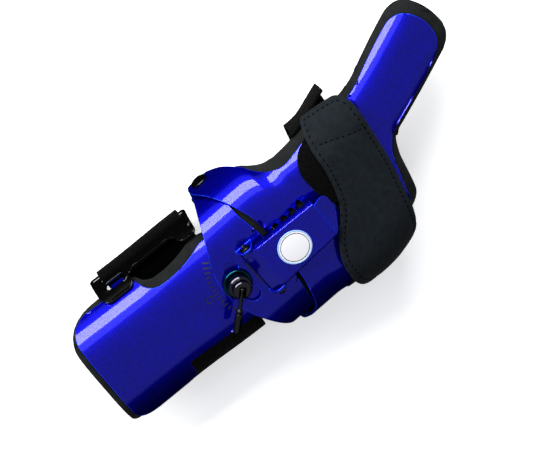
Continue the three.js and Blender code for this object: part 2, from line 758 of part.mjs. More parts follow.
// Rivets: shank through both wings, a collar between them and a dome outside
const handRivet = handFlat + (handSide * Math.PI) / 2 + handCrown - handSide;
function rivet(side) {
  const inner = wristSpan - sheetWall;
  const collarStart = wristSpan + touchGap;
  const collarEnd = handSpan - sheetWall - touchGap;
  const domeBase = handSpan + touchGap;
  const points = [
    new THREE.Vector2(0, inner),
    new THREE.Vector2(rivetShank, inner),
    new THREE.Vector2(rivetShank, collarStart),
    new THREE.Vector2(rivetRadius * 0.7, collarStart),
    new THREE.Vector2(rivetRadius * 0.7, collarEnd),
    new THREE.Vector2(rivetShank, collarEnd),
    new THREE.Vector2(rivetShank, domeBase),
    new THREE.Vector2(rivetRadius, domeBase),
    new THREE.Vector2(rivetRadius, domeBase + rivetDome * 0.25),
    new THREE.Vector2(rivetRadius * 0.85, domeBase + rivetDome * 0.7),
    new THREE.Vector2(rivetRadius * 0.5, domeBase + rivetDome * 0.95),
    new THREE.Vector2(0, domeBase + rivetDome),
  ];
  const geometry = new THREE.LatheGeometry(points, 16);
  if (side < 0) {
    geometry.rotateX(Math.PI);
    geometry.translate(0, -ulnarReach, 0);
  }
  return geometry;
}
piece("rivet_thumb", rivet(1), finishes.blackSteel, turning);
piece("rivet_ulnar", rivet(-1), finishes.blackSteel, turning);

// Cover pin with a head on the thumb side and a rounded end on the other
function coverPin() {
  const thumbEnd = lugInner + lugWall + touchGap;
  const points = [
    new THREE.Vector2(0, -thumbEnd - 3.2),
    new THREE.Vector2(pinHead * 0.68, -thumbEnd - 2.8),
    new THREE.Vector2(pinHead, -thumbEnd - 1.8),
    new THREE.Vector2(pinHead, -thumbEnd),
    new THREE.Vector2(pinRadius, -thumbEnd),
    new THREE.Vector2(pinRadius, thumbEnd),
    new THREE.Vector2(pinHead, thumbEnd),
    new THREE.Vector2(pinHead, thumbEnd + 1.2),
    new THREE.Vector2(pinHead * 0.7, thumbEnd + 2),
    new THREE.Vector2(0, thumbEnd + 2),
  ];
  const geometry = new THREE.LatheGeometry(points, 14);
  geometry.translate(-pinBack, 0, pinHeight);
  return geometry;
}
piece("cover_pin", coverPin(), finishes.blackSteel, turning);

// Leaf spring under the cover's rear edge
const spring = new THREE.BoxGeometry(3.6, 20, 0.7);
spring.translate(-pinBack - 4.8, -1, plateTop + 0.35);
piece("leaf_spring", spring, finishes.blackSteel, turning);

// Strut cover: bent sheet with a sloped rear face, side walls, a front tongue and a hook
const coverTopHeight = crownHeight + coverTop;
const coverRear = -pinBack - 5.4;
const coverHem = handCrown + 1.4;
function coverBlock(inset, hem, front) {
  const outline = new THREE.Shape([
    new THREE.Vector2(coverRear + inset * 1.2, hem),
    new THREE.Vector2(coverRear + inset * 1.2, coverHem + 1),
    new THREE.Vector2(inset * 0.4, coverTopHeight - inset),
    new THREE.Vector2(front, coverTopHeight - inset),
    new THREE.Vector2(front, hem),
  ]);
  const half = coverRearHalf - inset;
  const geometry = new THREE.ExtrudeGeometry(outline, { depth: half * 2, bevelEnabled: false });
  geometry.rotateX(Math.PI / 2);
  geometry.translate(0, half, 0);
  const place = geometry.attributes.position;
  for (let i = 0; i < place.count; i += 1) {
    const share = THREE.MathUtils.clamp(place.getX(i) / coverLength, 0, 1);
    const narrow = (coverRearHalf - coverFrontHalf) * share;
    place.setY(i, Math.sign(place.getY(i)) * (half - narrow));
  }
  return toSolid(geometry);
}
const hookX = slotStart + slotPitch * (slotCount - 1) + slotWidth / 2 - touchGap * 2 - coverWall;
function tongueSolid() {
  const shape = roundedShape([
    corner(coverLength - 0.5, -coverTongueHalf, 0.01),
    corner(coverLength + coverTongue * 0.15, -coverTongueHalf, 0.1),
    corner(coverLength + coverTongue, -coverTongueHalf * 0.1, 0.5),
    corner(coverLength + coverTongue, coverTongueHalf, 0.9),
    corner(coverLength - 0.5, coverTongueHalf, 0.01),
  ]);
  const geometry = new THREE.ExtrudeGeometry(shape, { depth: coverWall, bevelEnabled: false });
  const place = geometry.attributes.position;
  for (let i = 0; i < place.count; i += 1) {
    const drop = Math.max(place.getX(i) - coverLength, 0) * 0.62;
    place.setZ(i, place.getZ(i) + coverTopHeight - coverWall - drop);
  }
  return toSolid(geometry);
}
function hookSolid() {
  const past = Math.max(hookX + coverWall - coverLength, 0);
  const top = coverTopHeight - coverWall * 0.5 - past * 0.62;
  const foot = handCrown - 2.1 - sheetWall;
  const geometry = new THREE.BoxGeometry(coverWall, slotHalf * 1.1, top - foot);
  geometry.translate(hookX + coverWall / 2, 0, (top + foot) / 2);
  return toSolid(geometry);
}
const coverSolid = coverBlock(0, coverHem, coverLength)
  .subtract(coverBlock(coverWall, coverHem - 5, coverLength + 5))
  .add(tongueSolid())
  .add(hookSolid())
  .subtract(pinHole());
piece("strut_cover", toGeometry(coverSolid), finishes.bluePlate, turning);
piece(
  "badge",
  cylinder(badgeRadius, 0.7, coverLength * 0.42, -0.5, coverTopHeight + 0.1, 32, badgeRadius - 0.3),
  finishes.whiteEnamel,
  turning,
);

// Hand plate: wings, crown with the row of slots, and the finger plate
const wingHand = wingRound + 1.5;
const ulnarRivet = handRivet + ulnarReach;
const handOutline = [
  corner(fingerReach * 1.01, fingerHalf * 0.33, 1.4),
  corner(fingerReach * 0.97, fingerHalf * 1.04, 1.4),
  corner(fingerReach * 0.83, fingerHalf * 1.06, 3),
  corner(fingerReach * 0.62, fingerHalf * 0.92, 3),
  corner(fingerReach * 0.5, fingerHalf * 1.42, 1.6),
  corner(fingerReach * 0.3, fingerHalf * 1.58, 1.6),
  corner(fingerReach * 0.17, handRivet * 0.68, 2),
  corner(fingerReach * 0.06, handRivet + 5, 1.4),
  corner(-wingHand * 0.5, handRivet + wingHand * 1.1, 1),
  corner(-wingHand * 0.95, handRivet - 4, 0.8),
  corner(wingRound * 0.18, handRivet * 0.69, 1.4),
  corner(wingRound * 1.11, handFlat * 1.25, 0.8),
  corner(wingRound * 1.055, 0, 1),
  corner(wingRound * 0.955, -handFlat * 1.08, 0.8),
  corner(wingRound * 0.18, -handRivet * 0.69 - ulnarReach, 1.4),
  corner(-wingHand * 0.95, -ulnarRivet + 4, 0.8),
  corner(-wingHand * 0.5, -ulnarRivet - wingHand * 1.1, 1),
  corner(fingerReach * 0.06, -ulnarRivet - 5, 1.4),
  corner(fingerReach * 0.24, -handRivet * 0.97, 2.4),
  corner(fingerReach * 0.4, -handRivet * 0.8, 1.6),
  corner(fingerReach * 0.5, -fingerHalf * 1.5, 1.6),
  corner(fingerReach * 0.57, -fingerHalf * 0.8, 1.4),
  corner(fingerReach * 0.66, -fingerHalf * 0.73, 3),
  corner(fingerReach * 0.84, -fingerHalf * 0.78, 3),
  corner(fingerReach * 0.94, -fingerHalf * 0.71, 1.4),
  corner(fingerReach * 0.985, -fingerHalf * 0.37, 1),
];
const handSheet = bentSheet(handForm, handOutline, -sheetWall, 0, [
  discShape(rivetShank + touchGap, 0, handRivet),
  discShape(rivetShank + touchGap, 0, -ulnarRivet),
]);
let slottedPlate = toSolid(handSheet);
for (let i = 0; i < slotCount; i += 1) {
  const middle = slotStart + slotPitch * i;
  const outline = boxShape(middle - slotWidth / 2, middle + slotWidth / 2, -slotHalf, slotHalf, 2);
  const cutter = new THREE.ExtrudeGeometry(outline, { depth: handCrown, bevelEnabled: false });
  cutter.translate(0, 0, handCrown * 0.5);
  slottedPlate = slottedPlate.subtract(toSolid(cutter));
}
piece("hand_plate", toGeometry(slottedPlate), finishes.bluePlate, turning);

// Hand pad: it shows as a border round the plate in front of the wings
const padHalf = fingerHalf + foamMargin;
const padRear = wingRound * 1.55;
const handPadOutline = [
  corner(fingerReach * 1.053, fingerHalf * 0.42, 2),
  corner(fingerReach * 1.01, padHalf * 1.06, 2),
  corner(fingerReach * 0.83, padHalf * 1.05, 3),
  corner(fingerReach * 0.64, padHalf * 0.92, 2.4),
  corner(fingerReach * 0.5, padHalf * 1.4, 2),
  corner(fingerReach * 0.3, padHalf * 1.62, 2.4),
  corner(fingerReach * 0.15, handRivet * 0.825, 1.6),
  corner(padRear, handRivet * 0.945, 0.6),
  corner(padRear, -ulnarRivet * 0.945, 0.6),
  corner(fingerReach * 0.24, -handRivet * 1.09, 2),
  corner(fingerReach * 0.44, -handRivet * 0.9, 1.6),
  corner(fingerReach * 0.52, -padHalf * 1.31, 1.8),
  corner(fingerReach * 0.58, -padHalf * 0.8, 1.2),
  corner(fingerReach * 0.68, -padHalf * 0.81, 2.4),
  corner(fingerReach * 0.84, -padHalf * 0.84, 3),
  corner(fingerReach * 0.97, -padHalf * 0.81, 2),
  corner(fingerReach * 1.026, -padHalf * 0.44, 1.6),
];
piece("hand_pad", bentSheet(handForm, handPadOutline, -padBottom, -padTop), finishes.foam, turning);

// Straps of the hand: the band goes from the back round the ulnar side and the palm to the thumb side
const strapForm = {
  reach: fingerReach,
  cell: 13,
  turned: true,
  rows: [
    ...handForm.rows.slice(0, 3),
    { at: 0.64, crown: handCrown - 6.4, thumbFlat: 9, ulnarFlat: 38, round: 26 },
  ],
};
const bandDorsal = touchGap * 3 + strapWall / 2;
const bandStart = 33;
const bandEnd = 42;
function bandLine(section) {
  const ulnar = halfRound(section, -1);
  const thumb = halfRound(section, 1);
  const line = [];
  for (let i = 0; i < 4; i += 1) {
    line.push([THREE.MathUtils.lerp(bandStart, thumb.flat, i / 4), bandDorsal]);
  }
  for (let i = 0; i <= 5; i += 1) {
    line.push([THREE.MathUtils.lerp(thumb.flat, -ulnar.flat, i / 5), bandDorsal]);
  }
  strideMarks(ulnar, ulnar.flat, 9).forEach((across, i) => {
    const fall = THREE.MathUtils.smoothstep(i, 9, 13);
    line.push([-across, THREE.MathUtils.lerp(bandDorsal, outerLift, fall)]);
  });
  const rising = strideMarks(thumb, bandEnd, 2).reverse();
  rising.slice(1).forEach((across, i) => {
    const rise = THREE.MathUtils.smoothstep(i, 3, 7);
    line.push([across, THREE.MathUtils.lerp(outerLift, bandDorsal, rise)]);
  });
  return line;
}
piece(
  "strap_band",
  sweptStrap(strapForm, handStrapStart, handStrapStart + handStrapWidth, bandLine, strapWall, 4, handStrapSlant),
  finishes.loopPile,
  turning,
);

// Tab: shaped end that is laid over the back and over both ends of the band
const tabLift = bandDorsal + strapWall / 2 + touchGap * 4.2;
const tabOutline = [
  corner(fingerReach * 0.645, fingerHalf * 0.9, 0.8),
  corner(fingerReach * 0.63, fingerHalf * 1.25, 0.3),
  corner(fingerReach * 0.49, fingerHalf * 1.77, 0.3),
  corner(fingerReach * 0.43, fingerHalf * 1.2, 2),
  corner(fingerReach * 0.37, fingerHalf * 0.33, 2.6),
  corner(fingerReach * 0.31, -fingerHalf * 0.33, 1.2),
  corner(fingerReach * 0.18, -fingerHalf * 1.125, 1.6),
  corner(fingerReach * 0.165, -fingerHalf * 2.58, 1.8),
  corner(fingerReach * 0.22, -fingerHalf * 3.5, 1.4),
  corner(fingerReach * 0.33, -fingerHalf * 3.17, 1.6),
  corner(fingerReach * 0.5, -fingerHalf * 1.42, 4),
];
piece("strap_tab", bentSheet(strapForm, tabOutline, tabLift, tabLift + tabWall), finishes.neoprene, turning);

// The origin lies under the middle of the whole, on the surface that the straps rest on
glove.updateMatrixWorld(true);
const bounds = new THREE.Box3().setFromObject(glove, true);
glove.position.set(-(bounds.min.x + bounds.max.x) / 2, -(bounds.min.y + bounds.max.y) / 2, -bounds.min.z);

export default glove;
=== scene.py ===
import math

import bmesh
import bpy
from mathutils import Matrix, Vector


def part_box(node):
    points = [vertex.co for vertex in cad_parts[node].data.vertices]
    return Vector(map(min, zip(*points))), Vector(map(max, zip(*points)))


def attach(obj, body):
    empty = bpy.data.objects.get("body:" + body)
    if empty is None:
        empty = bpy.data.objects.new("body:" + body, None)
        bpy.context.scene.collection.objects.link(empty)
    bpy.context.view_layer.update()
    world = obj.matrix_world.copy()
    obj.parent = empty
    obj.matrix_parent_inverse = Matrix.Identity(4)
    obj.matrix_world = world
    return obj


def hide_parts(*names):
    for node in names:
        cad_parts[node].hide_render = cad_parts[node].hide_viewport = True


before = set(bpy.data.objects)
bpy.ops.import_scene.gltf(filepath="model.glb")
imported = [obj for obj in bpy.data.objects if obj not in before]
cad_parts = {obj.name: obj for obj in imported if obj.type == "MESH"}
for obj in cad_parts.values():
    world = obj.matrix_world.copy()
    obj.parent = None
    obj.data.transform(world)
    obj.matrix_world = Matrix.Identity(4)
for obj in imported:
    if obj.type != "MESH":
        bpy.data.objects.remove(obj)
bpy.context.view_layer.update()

millimetre = 0.001
swivelSet = math.radians(3.5)  # how far the wrist and hand are turned to the thumb side
floorDrop = 16  # rivet axis to the floor
strapCorner = 12
sheetWall = 2
lockReach = 25
ulnarReach = 6.5  # extra width on the little-finger side

studLow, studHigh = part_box("lock_stud")
gloveOrigin = Vector((
    (studLow.x + studHigh.x) / 2 + lockReach * millimetre,
    (studLow.y + studHigh.y) / 2,
    floorDrop * millimetre,
))
seatForearm = Matrix.Translation(gloveOrigin) @ Matrix.Scale(millimetre, 4)
seatWrist = seatForearm @ Matrix.Rotation(swivelSet, 4, "Z")


# Forms that the sheets are bent over
armForm = {
    "reach": 134,
    "turned": False,
    "rows": [  # share of reach, crown height, flat to the thumb, flat to the other side, side radius
        (-1.05, 35.05, 8, 14.5, 38.1),
        (-0.6, 34.2, 8, 14.5, 37),
        (-0.26, 33.7, 10, 16.5, 36.1),
    ],
}
wristForm = {"reach": 134, "turned": False, "rows": [(0, 36, 21, 27.5, 33.5)]}
handForm = {
    "reach": 190,
    "turned": True,
    "rows": [
        (0.1, 38.3, 24, 30.5, 35.3),
        (0.29, 36, 18, 42, 30),
        (0.5, 33.5, 9, 42, 26),
        (0.62, 31.5, 4, 8, 26),
        (1.05, 24.3, 4, 8, 26),
    ],
}
strapForm = {
    "reach": 190,
    "turned": True,
    "rows": handForm["rows"][:3] + [(0.64, 31.9, 9, 38, 26)],
}
fingerTurn = {"angle": math.radians(19), "start": 28, "length": 34}


def sectionAt(form, along):
    rows = form["rows"]
    share = along / form["reach"]
    if share <= rows[0][0]:
        return rows[0][1:]
    for low, high in zip(rows, rows[1:]):
        if share <= high[0]:
            t = (share - low[0]) / (high[0] - low[0])
            t = t * t * (3 - 2 * t)
            return tuple(a + (b - a) * t for a, b in zip(low[1:], high[1:]))
    return rows[-1][1:]


def halfRound(section, side):
    crown, thumbFlat, otherFlat, radius = section
    flat = thumbFlat if side > 0 else otherFlat
    straight = max(crown - radius + floorDrop - strapCorner, 0)
    under = flat + radius - strapCorner
    total = flat + math.pi / 2 * (radius + strapCorner) + straight + under
    return {"flat": flat, "straight": straight, "under": under, "total": total}


def sectionPoint(section, across, lift):
    crown, radius = section[0], section[3]
    side = -1 if across < 0 else 1
    run = abs(across)
    half = halfRound(section, side)
    arc = radius * math.pi / 2
    cornerArc = strapCorner * math.pi / 2
    cornerTop = crown - radius - half["straight"]
    sideY = half["flat"] + radius
    if run <= half["flat"]:
        return side * run, crown + lift
    run -= half["flat"]
    if run <= arc:
        angle = run / radius
        return (
            side * (half["flat"] + (radius + lift) * math.sin(angle)),
            crown - radius + (radius + lift) * math.cos(angle),
        )
    run -= arc
    if run <= half["straight"]:
        return side * (sideY + lift), crown - radius - run
    run -= half["straight"]
    if run <= cornerArc:
        angle = run / strapCorner
        return (
            side * (sideY - strapCorner + (strapCorner + lift) * math.cos(angle)),
            cornerTop - (strapCorner + lift) * math.sin(angle),
        )
    return side * (sideY - strapCorner - (run - cornerArc)), cornerTop - strapCorner - lift


def placeSection(form, along, y, z):
    if not form["turned"] or along <= fingerTurn["start"]:
        return Vector((along, y, z))
    radius = fingerTurn["length"] / fingerTurn["angle"]
    run = along - fingerTurn["start"]
    angle = min(run / radius, fingerTurn["angle"])
    rest = max(run - fingerTurn["length"], 0)
    x = fingerTurn["start"] + radius * math.sin(angle) + rest * math.cos(angle)
    middle = radius * (1 - math.cos(angle)) + rest * math.sin(angle)
    return Vector((x - y * math.sin(angle), middle + y * math.cos(angle), z))


def formPoint(form, along, across, lift):
    y, z = sectionPoint(sectionAt(form, along), across, lift)
    return placeSection(form, along, y, z)


# Making and finishing a piece
def finishPiece(mesh, name, body, material, replaced=(), seat=seatForearm, bevel=0, smooth=True):
    bmesh.ops.remove_doubles(mesh, verts=mesh.verts, dist=0.001)
    bmesh.ops.recalc_face_normals(mesh, faces=mesh.faces)
    mesh.transform(seat)
    data = bpy.data.meshes.new(name)
    mesh.to_mesh(data)
    mesh.free()
    piece = bpy.data.objects.new(name, data)
    bpy.context.scene.collection.objects.link(piece)
    data.materials.append(material)
    for face in data.polygons:
        face.use_smooth = smooth
    if bevel:
        edge = piece.modifiers.new("edge", "BEVEL")
        edge.width = bevel * millimetre
        edge.segments = 2
        edge.limit_method = "ANGLE"
        edge.angle_limit = math.radians(40)
        edge.use_clamp_overlap = False
        edge.harden_normals = True
    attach(piece, body)
    if replaced:
        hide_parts(*replaced)
    # the lacquered plates' bevelled rims get a second, brighter blue material: a painted highlight along the
    # cut edges
    if material == blueLacquer:
        data.materials.append(edgeHighlightBlue)
        piece.modifiers["edge"].material = 1
    return piece


def outlineFace(mesh, corners, arcSteps=8):
    verts = [mesh.verts.new((along, across, 0)) for along, across, _ in corners]
    mesh.faces.new(verts)
    count = len(corners)
    for i, (vert, (along, across, reach)) in enumerate(zip(verts, corners)):
        here = Vector((along, across))
        before = (Vector(corners[i - 1][:2]) - here).length
        after = (Vector(corners[(i + 1) % count][:2]) - here).length
        reach = min(reach, before * 0.49, after * 0.49)
        bmesh.ops.bevel(
            mesh, geom=[vert], offset=reach, offset_type="OFFSET", affect="VERTICES",
            segments=3 if reach < 3 else arcSteps, profile=0.5, material=-1,
        )
    return mesh.faces[:][0] if len(mesh.faces) == 1 else max(mesh.faces, key=lambda f: f.calc_area())


def prism(corners, low, high, arcSteps=8):
    mesh = bmesh.new()
    face = outlineFace(mesh, corners, arcSteps)
    bmesh.ops.translate(mesh, verts=mesh.verts, vec=(0, 0, low))
    raised = bmesh.ops.extrude_face_region(mesh, geom=[face], use_keep_orig=True)
    moved = [g for g in raised["geom"] if isinstance(g, bmesh.types.BMVert)]
    bmesh.ops.translate(mesh, verts=moved, vec=(0, 0, high - low))
    bmesh.ops.recalc_face_normals(mesh, faces=mesh.faces)
    return mesh


def roundPrism(x, y, radius, low, high, sides=32):
    mesh = bmesh.new()
    bmesh.ops.create_cone(
        mesh, cap_ends=True, segments=sides, radius1=radius, radius2=radius, depth=high - low,
        matrix=Matrix.Translation((x, y, (low + high) / 2)),
    )
    return mesh


def boxCorners(lowX, highX, lowY, highY, reach):
    return [(lowX, lowY, reach), (highX, lowY, reach), (highX, highY, reach), (lowX, highY, reach)]


def combine(base, cutter, operation):
    # base and cutter are closed meshes; both are used up
    made = []
    for source in (base, cutter):
        data = bpy.data.meshes.new("scratch")
        source.to_mesh(data)
        source.free()
        made.append(bpy.data.objects.new("scratch", data))
        bpy.context.scene.collection.objects.link(made[-1])
    step = made[0].modifiers.new("cut", "BOOLEAN")
    step.operation = operation
    step.solver = "EXACT"
    step.object = made[1]
    bpy.context.view_layer.update()
    shaped = made[0].evaluated_get(bpy.context.evaluated_depsgraph_get())
    result = bmesh.new()
    result.from_mesh(shaped.to_mesh())
    for scratch in made:
        data = scratch.data
        bpy.data.objects.remove(scratch)
        bpy.data.meshes.remove(data)
    return result


def flatBlank(corners, low, high, cellAlong, cellAcross, arcSteps=8):
    # slab with a grid on its faces, cut to the outline
    margin = 4
    lowX = min(c[0] for c in corners) - margin
    highX = max(c[0] for c in corners) + margin
    lowY = min(c[1] for c in corners) - margin
    highY = max(c[1] for c in corners) + margin
    slab = bmesh.new()
    bmesh.ops.create_grid(
        slab,
        x_segments=round((highX - lowX) / cellAlong),
        y_segments=round((highY - lowY) / cellAcross),
        size=0.5,
        matrix=Matrix.Translation(((lowX + highX) / 2, (lowY + highY) / 2, low))
        @ Matrix.Diagonal((highX - lowX, highY - lowY, 1, 1)),
    )
    raised = bmesh.ops.extrude_face_region(slab, geom=slab.faces[:], use_keep_orig=True)
    moved = [g for g in raised["geom"] if isinstance(g, bmesh.types.BMVert)]
    bmesh.ops.translate(slab, verts=moved, vec=(0, 0, high - low))
    bmesh.ops.recalc_face_normals(slab, faces=slab.faces)
    return combine(slab, prism(corners, low - 2, high + 2, arcSteps), "INTERSECT")


def bend(mesh, form):
    for vert in mesh.verts:
        vert.co = formPoint(form, *vert.co)


def turnMesh(mesh, angle, axis):
    bmesh.ops.rotate(mesh, verts=mesh.verts, cent=(0, 0, 0), matrix=Matrix.Rotation(angle, 3, axis))


def lathe(profile, steps=48, axis="Z", place=(0, 0, 0)):
    # profile rows are radius and height; the line is spun round Z and closed at its ends
    mesh = bmesh.new()
    verts = [mesh.verts.new((radius, 0, height)) for radius, height in profile]
    edges = [mesh.edges.new(pair) for pair in zip(verts, verts[1:])]
    bmesh.ops.spin(
        mesh, geom=verts + edges, cent=(0, 0, 0), axis=(0, 0, 1), angle=math.tau,
        steps=steps, use_merge=True, use_duplicate=False,
    )
    bmesh.ops.remove_doubles(mesh, verts=mesh.verts, dist=0.001)
    if axis == "Y":
        turnMesh(mesh, -math.pi / 2, "X")
    if axis == "X":
        turnMesh(mesh, math.pi / 2, "Y")
    bmesh.ops.translate(mesh, verts=mesh.verts, vec=place)
    return mesh


def roundedProfile(rows, reach, steps=4):
    # rows of radius, height; each inner corner is replaced by a short arc
    points = [rows[0]]
    for before, here, after in zip(rows, rows[1:], rows[2:]):
        corner, start, end = Vector(here), Vector(before), Vector(after)
        size = min(reach, (start - corner).length * 0.49, (end - corner).length * 0.49)
        a = corner + (start - corner).normalized() * size
        b = corner + (end - corner).normalized() * size
        for i in range(steps + 1):
            t = i / steps
            p = a * (1 - t) ** 2 + corner * 2 * t * (1 - t) + b * t * t
            points.append((p.x, p.y))
    return points + [rows[-1]]


# Materials
def linear(hexColour):
    values = [int(hexColour[i:i + 2], 16) / 255 for i in (0, 2, 4)]
    return tuple(v / 12.92 if v <= 0.04045 else ((v + 0.055) / 1.055) ** 2.4 for v in values) + (1,)


def addNode(tree, kind, settings=None, links=None):
    node = tree.nodes.new(kind)
    for key, value in (settings or {}).items():  # an input by its name or number, or else a property
        if isinstance(key, int) or key in node.inputs:
            node.inputs[key].default_value = value
        else:
            setattr(node, key, value)
    for key, source in (links or {}).items():
        tree.links.new(source, node.inputs[key])
    return node


def newMaterial(name, settings):
    material = bpy.data.materials.new(name)
    material.use_nodes = True
    tree = material.node_tree
    shader = tree.nodes["Principled BSDF"]
    for key, value in settings.items():
        shader.inputs[key].default_value = value
    place = addNode(tree, "ShaderNodeTexCoord")
    return material, tree, shader, place.outputs["Object"]


def ramp(tree, source, stops):
    node = addNode(tree, "ShaderNodeValToRGB", None, {"Fac": source})
    elements = node.color_ramp.elements
    elements[0].position, elements[0].color = stops[0]
    elements[1].position, elements[1].color = stops[-1]
    for position, colour in stops[1:-1]:
        elements.new(position).color = colour
    return node.outputs["Color"]


def colourStops(tree, shader, source, stops):
    colour = ramp(tree, source, [(position, linear(tone)) for position, tone in stops])
    tree.links.new(colour, shader.inputs["Base Color"])


def noise(tree, place, perMetre, detail):
    settings = {"Scale": perMetre, "Detail": detail}
    return addNode(tree, "ShaderNodeTexNoise", settings, {"Vector": place})


def grains(tree, place, size, feature="F1"):
    settings = {"feature": feature, "Scale": 1 / (size * millimetre)}
    return addNode(tree, "ShaderNodeTexVoronoi", settings, {"Vector": place})


def bump(tree, shader, height, strength, distance):
    node = addNode(
        tree, "ShaderNodeBump", {"Strength": strength, "Distance": distance * millimetre}, {"Height": height}
    )
    tree.links.new(node.outputs["Normal"], shader.inputs["Normal"])


def candyLacquer():
    # clear blue lacquer over bright aluminium: deep colour, fine sparkling flakes, glassy top
    look = {
        "flakeSize": 0.45,  # real flakes are about 0.05 mm, too fine to show
        "stops": [(0.1, "02027c"), (0.85, "0707c0")], "flakeTilt": 0.12, "cloudsPerMetre": 55.0,
    }
    material, tree, shader, place = newMaterial("candyLacquerOnAluminium", {
        "Metallic": 0.85, "Roughness": 0.32, "Specular Tint": (0.0, 0.0, 0.3, 1.0),
        "Coat Weight": 0.75, "Coat Roughness": 0.07, "Coat IOR": 1.38,
    })
    flakes = grains(tree, place, look["flakeSize"])
    cloud = noise(tree, place, look["cloudsPerMetre"], 3.0)
    spread = addNode(
        tree, "ShaderNodeMath", {"operation": "MULTIPLY_ADD", 1: 0.25, 2: 0.0}, {0: cloud.outputs["Fac"]}
    )
    grain = addNode(tree, "ShaderNodeSeparateColor", None, {"Color": flakes.outputs["Color"]})
    share = addNode(
        tree, "ShaderNodeMath", {"operation": "MULTIPLY_ADD", 1: 0.6},
        {0: grain.outputs["Red"], 2: spread.outputs["Value"]},
    )
    colourStops(tree, shader, share.outputs["Value"], look["stops"])
    bump(tree, shader, grain.outputs["Green"], look["flakeTilt"], 0.05)
    return material


def closedCellFoam():
    # moulded foam with a fine open skin: matt, with lighter and darker spots at random
    look = {"cell": 0.9, "stops": [(0.3, "0b0d0d"), (0.75, "151717")], "spotsPerMetre": 140.0}
    material, tree, shader, place = newMaterial("closedCellFoam", {
        "Roughness": 0.92, "Specular IOR Level": 0.1, "Sheen Weight": 0.02, "Sheen Roughness": 0.6,
    })
    cells = grains(tree, place, look["cell"])
    mottle = noise(tree, place, look["spotsPerMetre"], 5.0)
    colourStops(tree, shader, mottle.outputs["Fac"], look["stops"])
    bump(tree, shader, cells.outputs["Distance"], 0.5, 0.12)
    return material


def knitNeoprene():
    # neoprene faced with a tight nylon knit: smooth, dull, with a faint rib
    look = {"rib": 0.9, "stops": [(0.3, "080c10"), (0.72, "0e151a")], "cloudsPerMetre": 260.0}
    material, tree, shader, place = newMaterial("knitFacedNeoprene", {
        "Roughness": 0.8, "Specular IOR Level": 0.1, "Sheen Weight": 0.02, "Sheen Roughness": 0.5,
    })
    turned = addNode(tree, "ShaderNodeMapping", {"Rotation": (0, 0, math.radians(22))}, {"Vector": place})
    ribs = {
        "wave_type": "BANDS", "bands_direction": "X",
        "Scale": 0.32 / (look["rib"] * millimetre),  # bands repeat about every 0.32 / scale
        "Distortion": 0.6,
    }
    rib = addNode(tree, "ShaderNodeTexWave", ribs, {"Vector": turned.outputs["Vector"]})
    cloud = noise(tree, place, look["cloudsPerMetre"], 4.0)
    colourStops(tree, shader, cloud.outputs["Fac"], look["stops"])
    bump(tree, shader, rib.outputs["Fac"], 0.25, 0.1)
    return material


def loopPile():
    # brushed loop webbing: black, fuzzy, with a random nap of curled threads
    look = {"loop": 1.1, "stops": [(0.1, "070707"), (0.6, "020202")], "threadsPerMetre": 400.0}
    material, tree, shader, place = newMaterial("brushedLoopWebbing", {
        "Roughness": 0.95, "Specular IOR Level": 0.04, "Sheen Weight": 0.01, "Sheen Roughness": 0.45,
    })
    warp = noise(tree, place, look["threadsPerMetre"], 3.0)
    loops = grains(tree, place, look["loop"], "SMOOTH_F1")
    colourStops(tree, shader, loops.outputs["Distance"], look["stops"])
    nap = addNode(
        tree, "ShaderNodeMath", {"operation": "SUBTRACT"},
        {0: warp.outputs["Fac"], 1: loops.outputs["Distance"]},
    )
    bump(tree, shader, nap.outputs["Value"], 0.8, 0.5)
    return material


def hardware(name, colour, settings):
    # small turned or pressed part: even colour, with faint handling marks in the gloss
    look = {"grime": 0.12, "marksPerMetre": 180.0}
    material, tree, shader, place = newMaterial(name, settings)
    shader.inputs["Base Color"].default_value = linear(colour)
    marks = noise(tree, place, look["marksPerMetre"], 6.0)
    rough = addNode(
        tree, "ShaderNodeMath",
        {"operation": "MULTIPLY_ADD", 1: look["grime"], 2: settings["Roughness"] - look["grime"] / 2},
        {0: marks.outputs["Fac"]},
    )
    tree.links.new(rough.outputs["Value"], shader.inputs["Roughness"])
    bump(tree, shader, marks.outputs["Fac"], 0.05, 0.05)
    return material


blueLacquer = candyLacquer()
foam = closedCellFoam()
neoprene = knitNeoprene()
pile = loopPile()
blackNickel = hardware("blackNickelledSteel", "343436", {"Metallic": 1.0, "Roughness": 0.14})
blackAcetal = hardware("mouldedBlackAcetal", "020202", {"Specular IOR Level": 0.28, "Roughness": 0.16})
brightSteel = hardware("turnedBrightSteel", "c8ccd0", {"Metallic": 1.0, "Roughness": 0.2})
blueZinc = hardware("blueZincPlatedSteel", "0a2c38", {"Metallic": 1.0, "Roughness": 0.18})
whiteEnamel = hardware(
    "bakedWhiteEnamel", "cfcfd3", {"Metallic": 0.0, "Roughness": 0.25, "Coat Weight": 0.6}
)
paleBlueRim = hardware("bakedPaleBlueEnamel", "8fb4ea", {"Metallic": 0.2, "Roughness": 0.3})
darkInk = hardware("screenPrintedInk", "14161c", {"Metallic": 0.0, "Roughness": 0.5})
# brighter blue than the lacquer: painted highlight that the cut edges catch
edgeHighlightBlue = hardware("paintedEdgeHighlight", "1438ff", {"Metallic": 0.8, "Roughness": 0.28})
# near-black strips for the scale ticks and zero stand in for the shade inside the stamped grooves: painted
# shade
stampShadeBlue = hardware("paintedStampShade", "02021c", {"Metallic": 0.0, "Roughness": 0.5})
sewingThread = hardware("twistedPolyesterThread", "010101", {"Specular IOR Level": 0.02, "Roughness": 0.9})
print("materials ready")


# Plates
screwHole = 3.3
cutLow, cutHigh = -5, 3  # a cutter's reach below and above a flat sheet

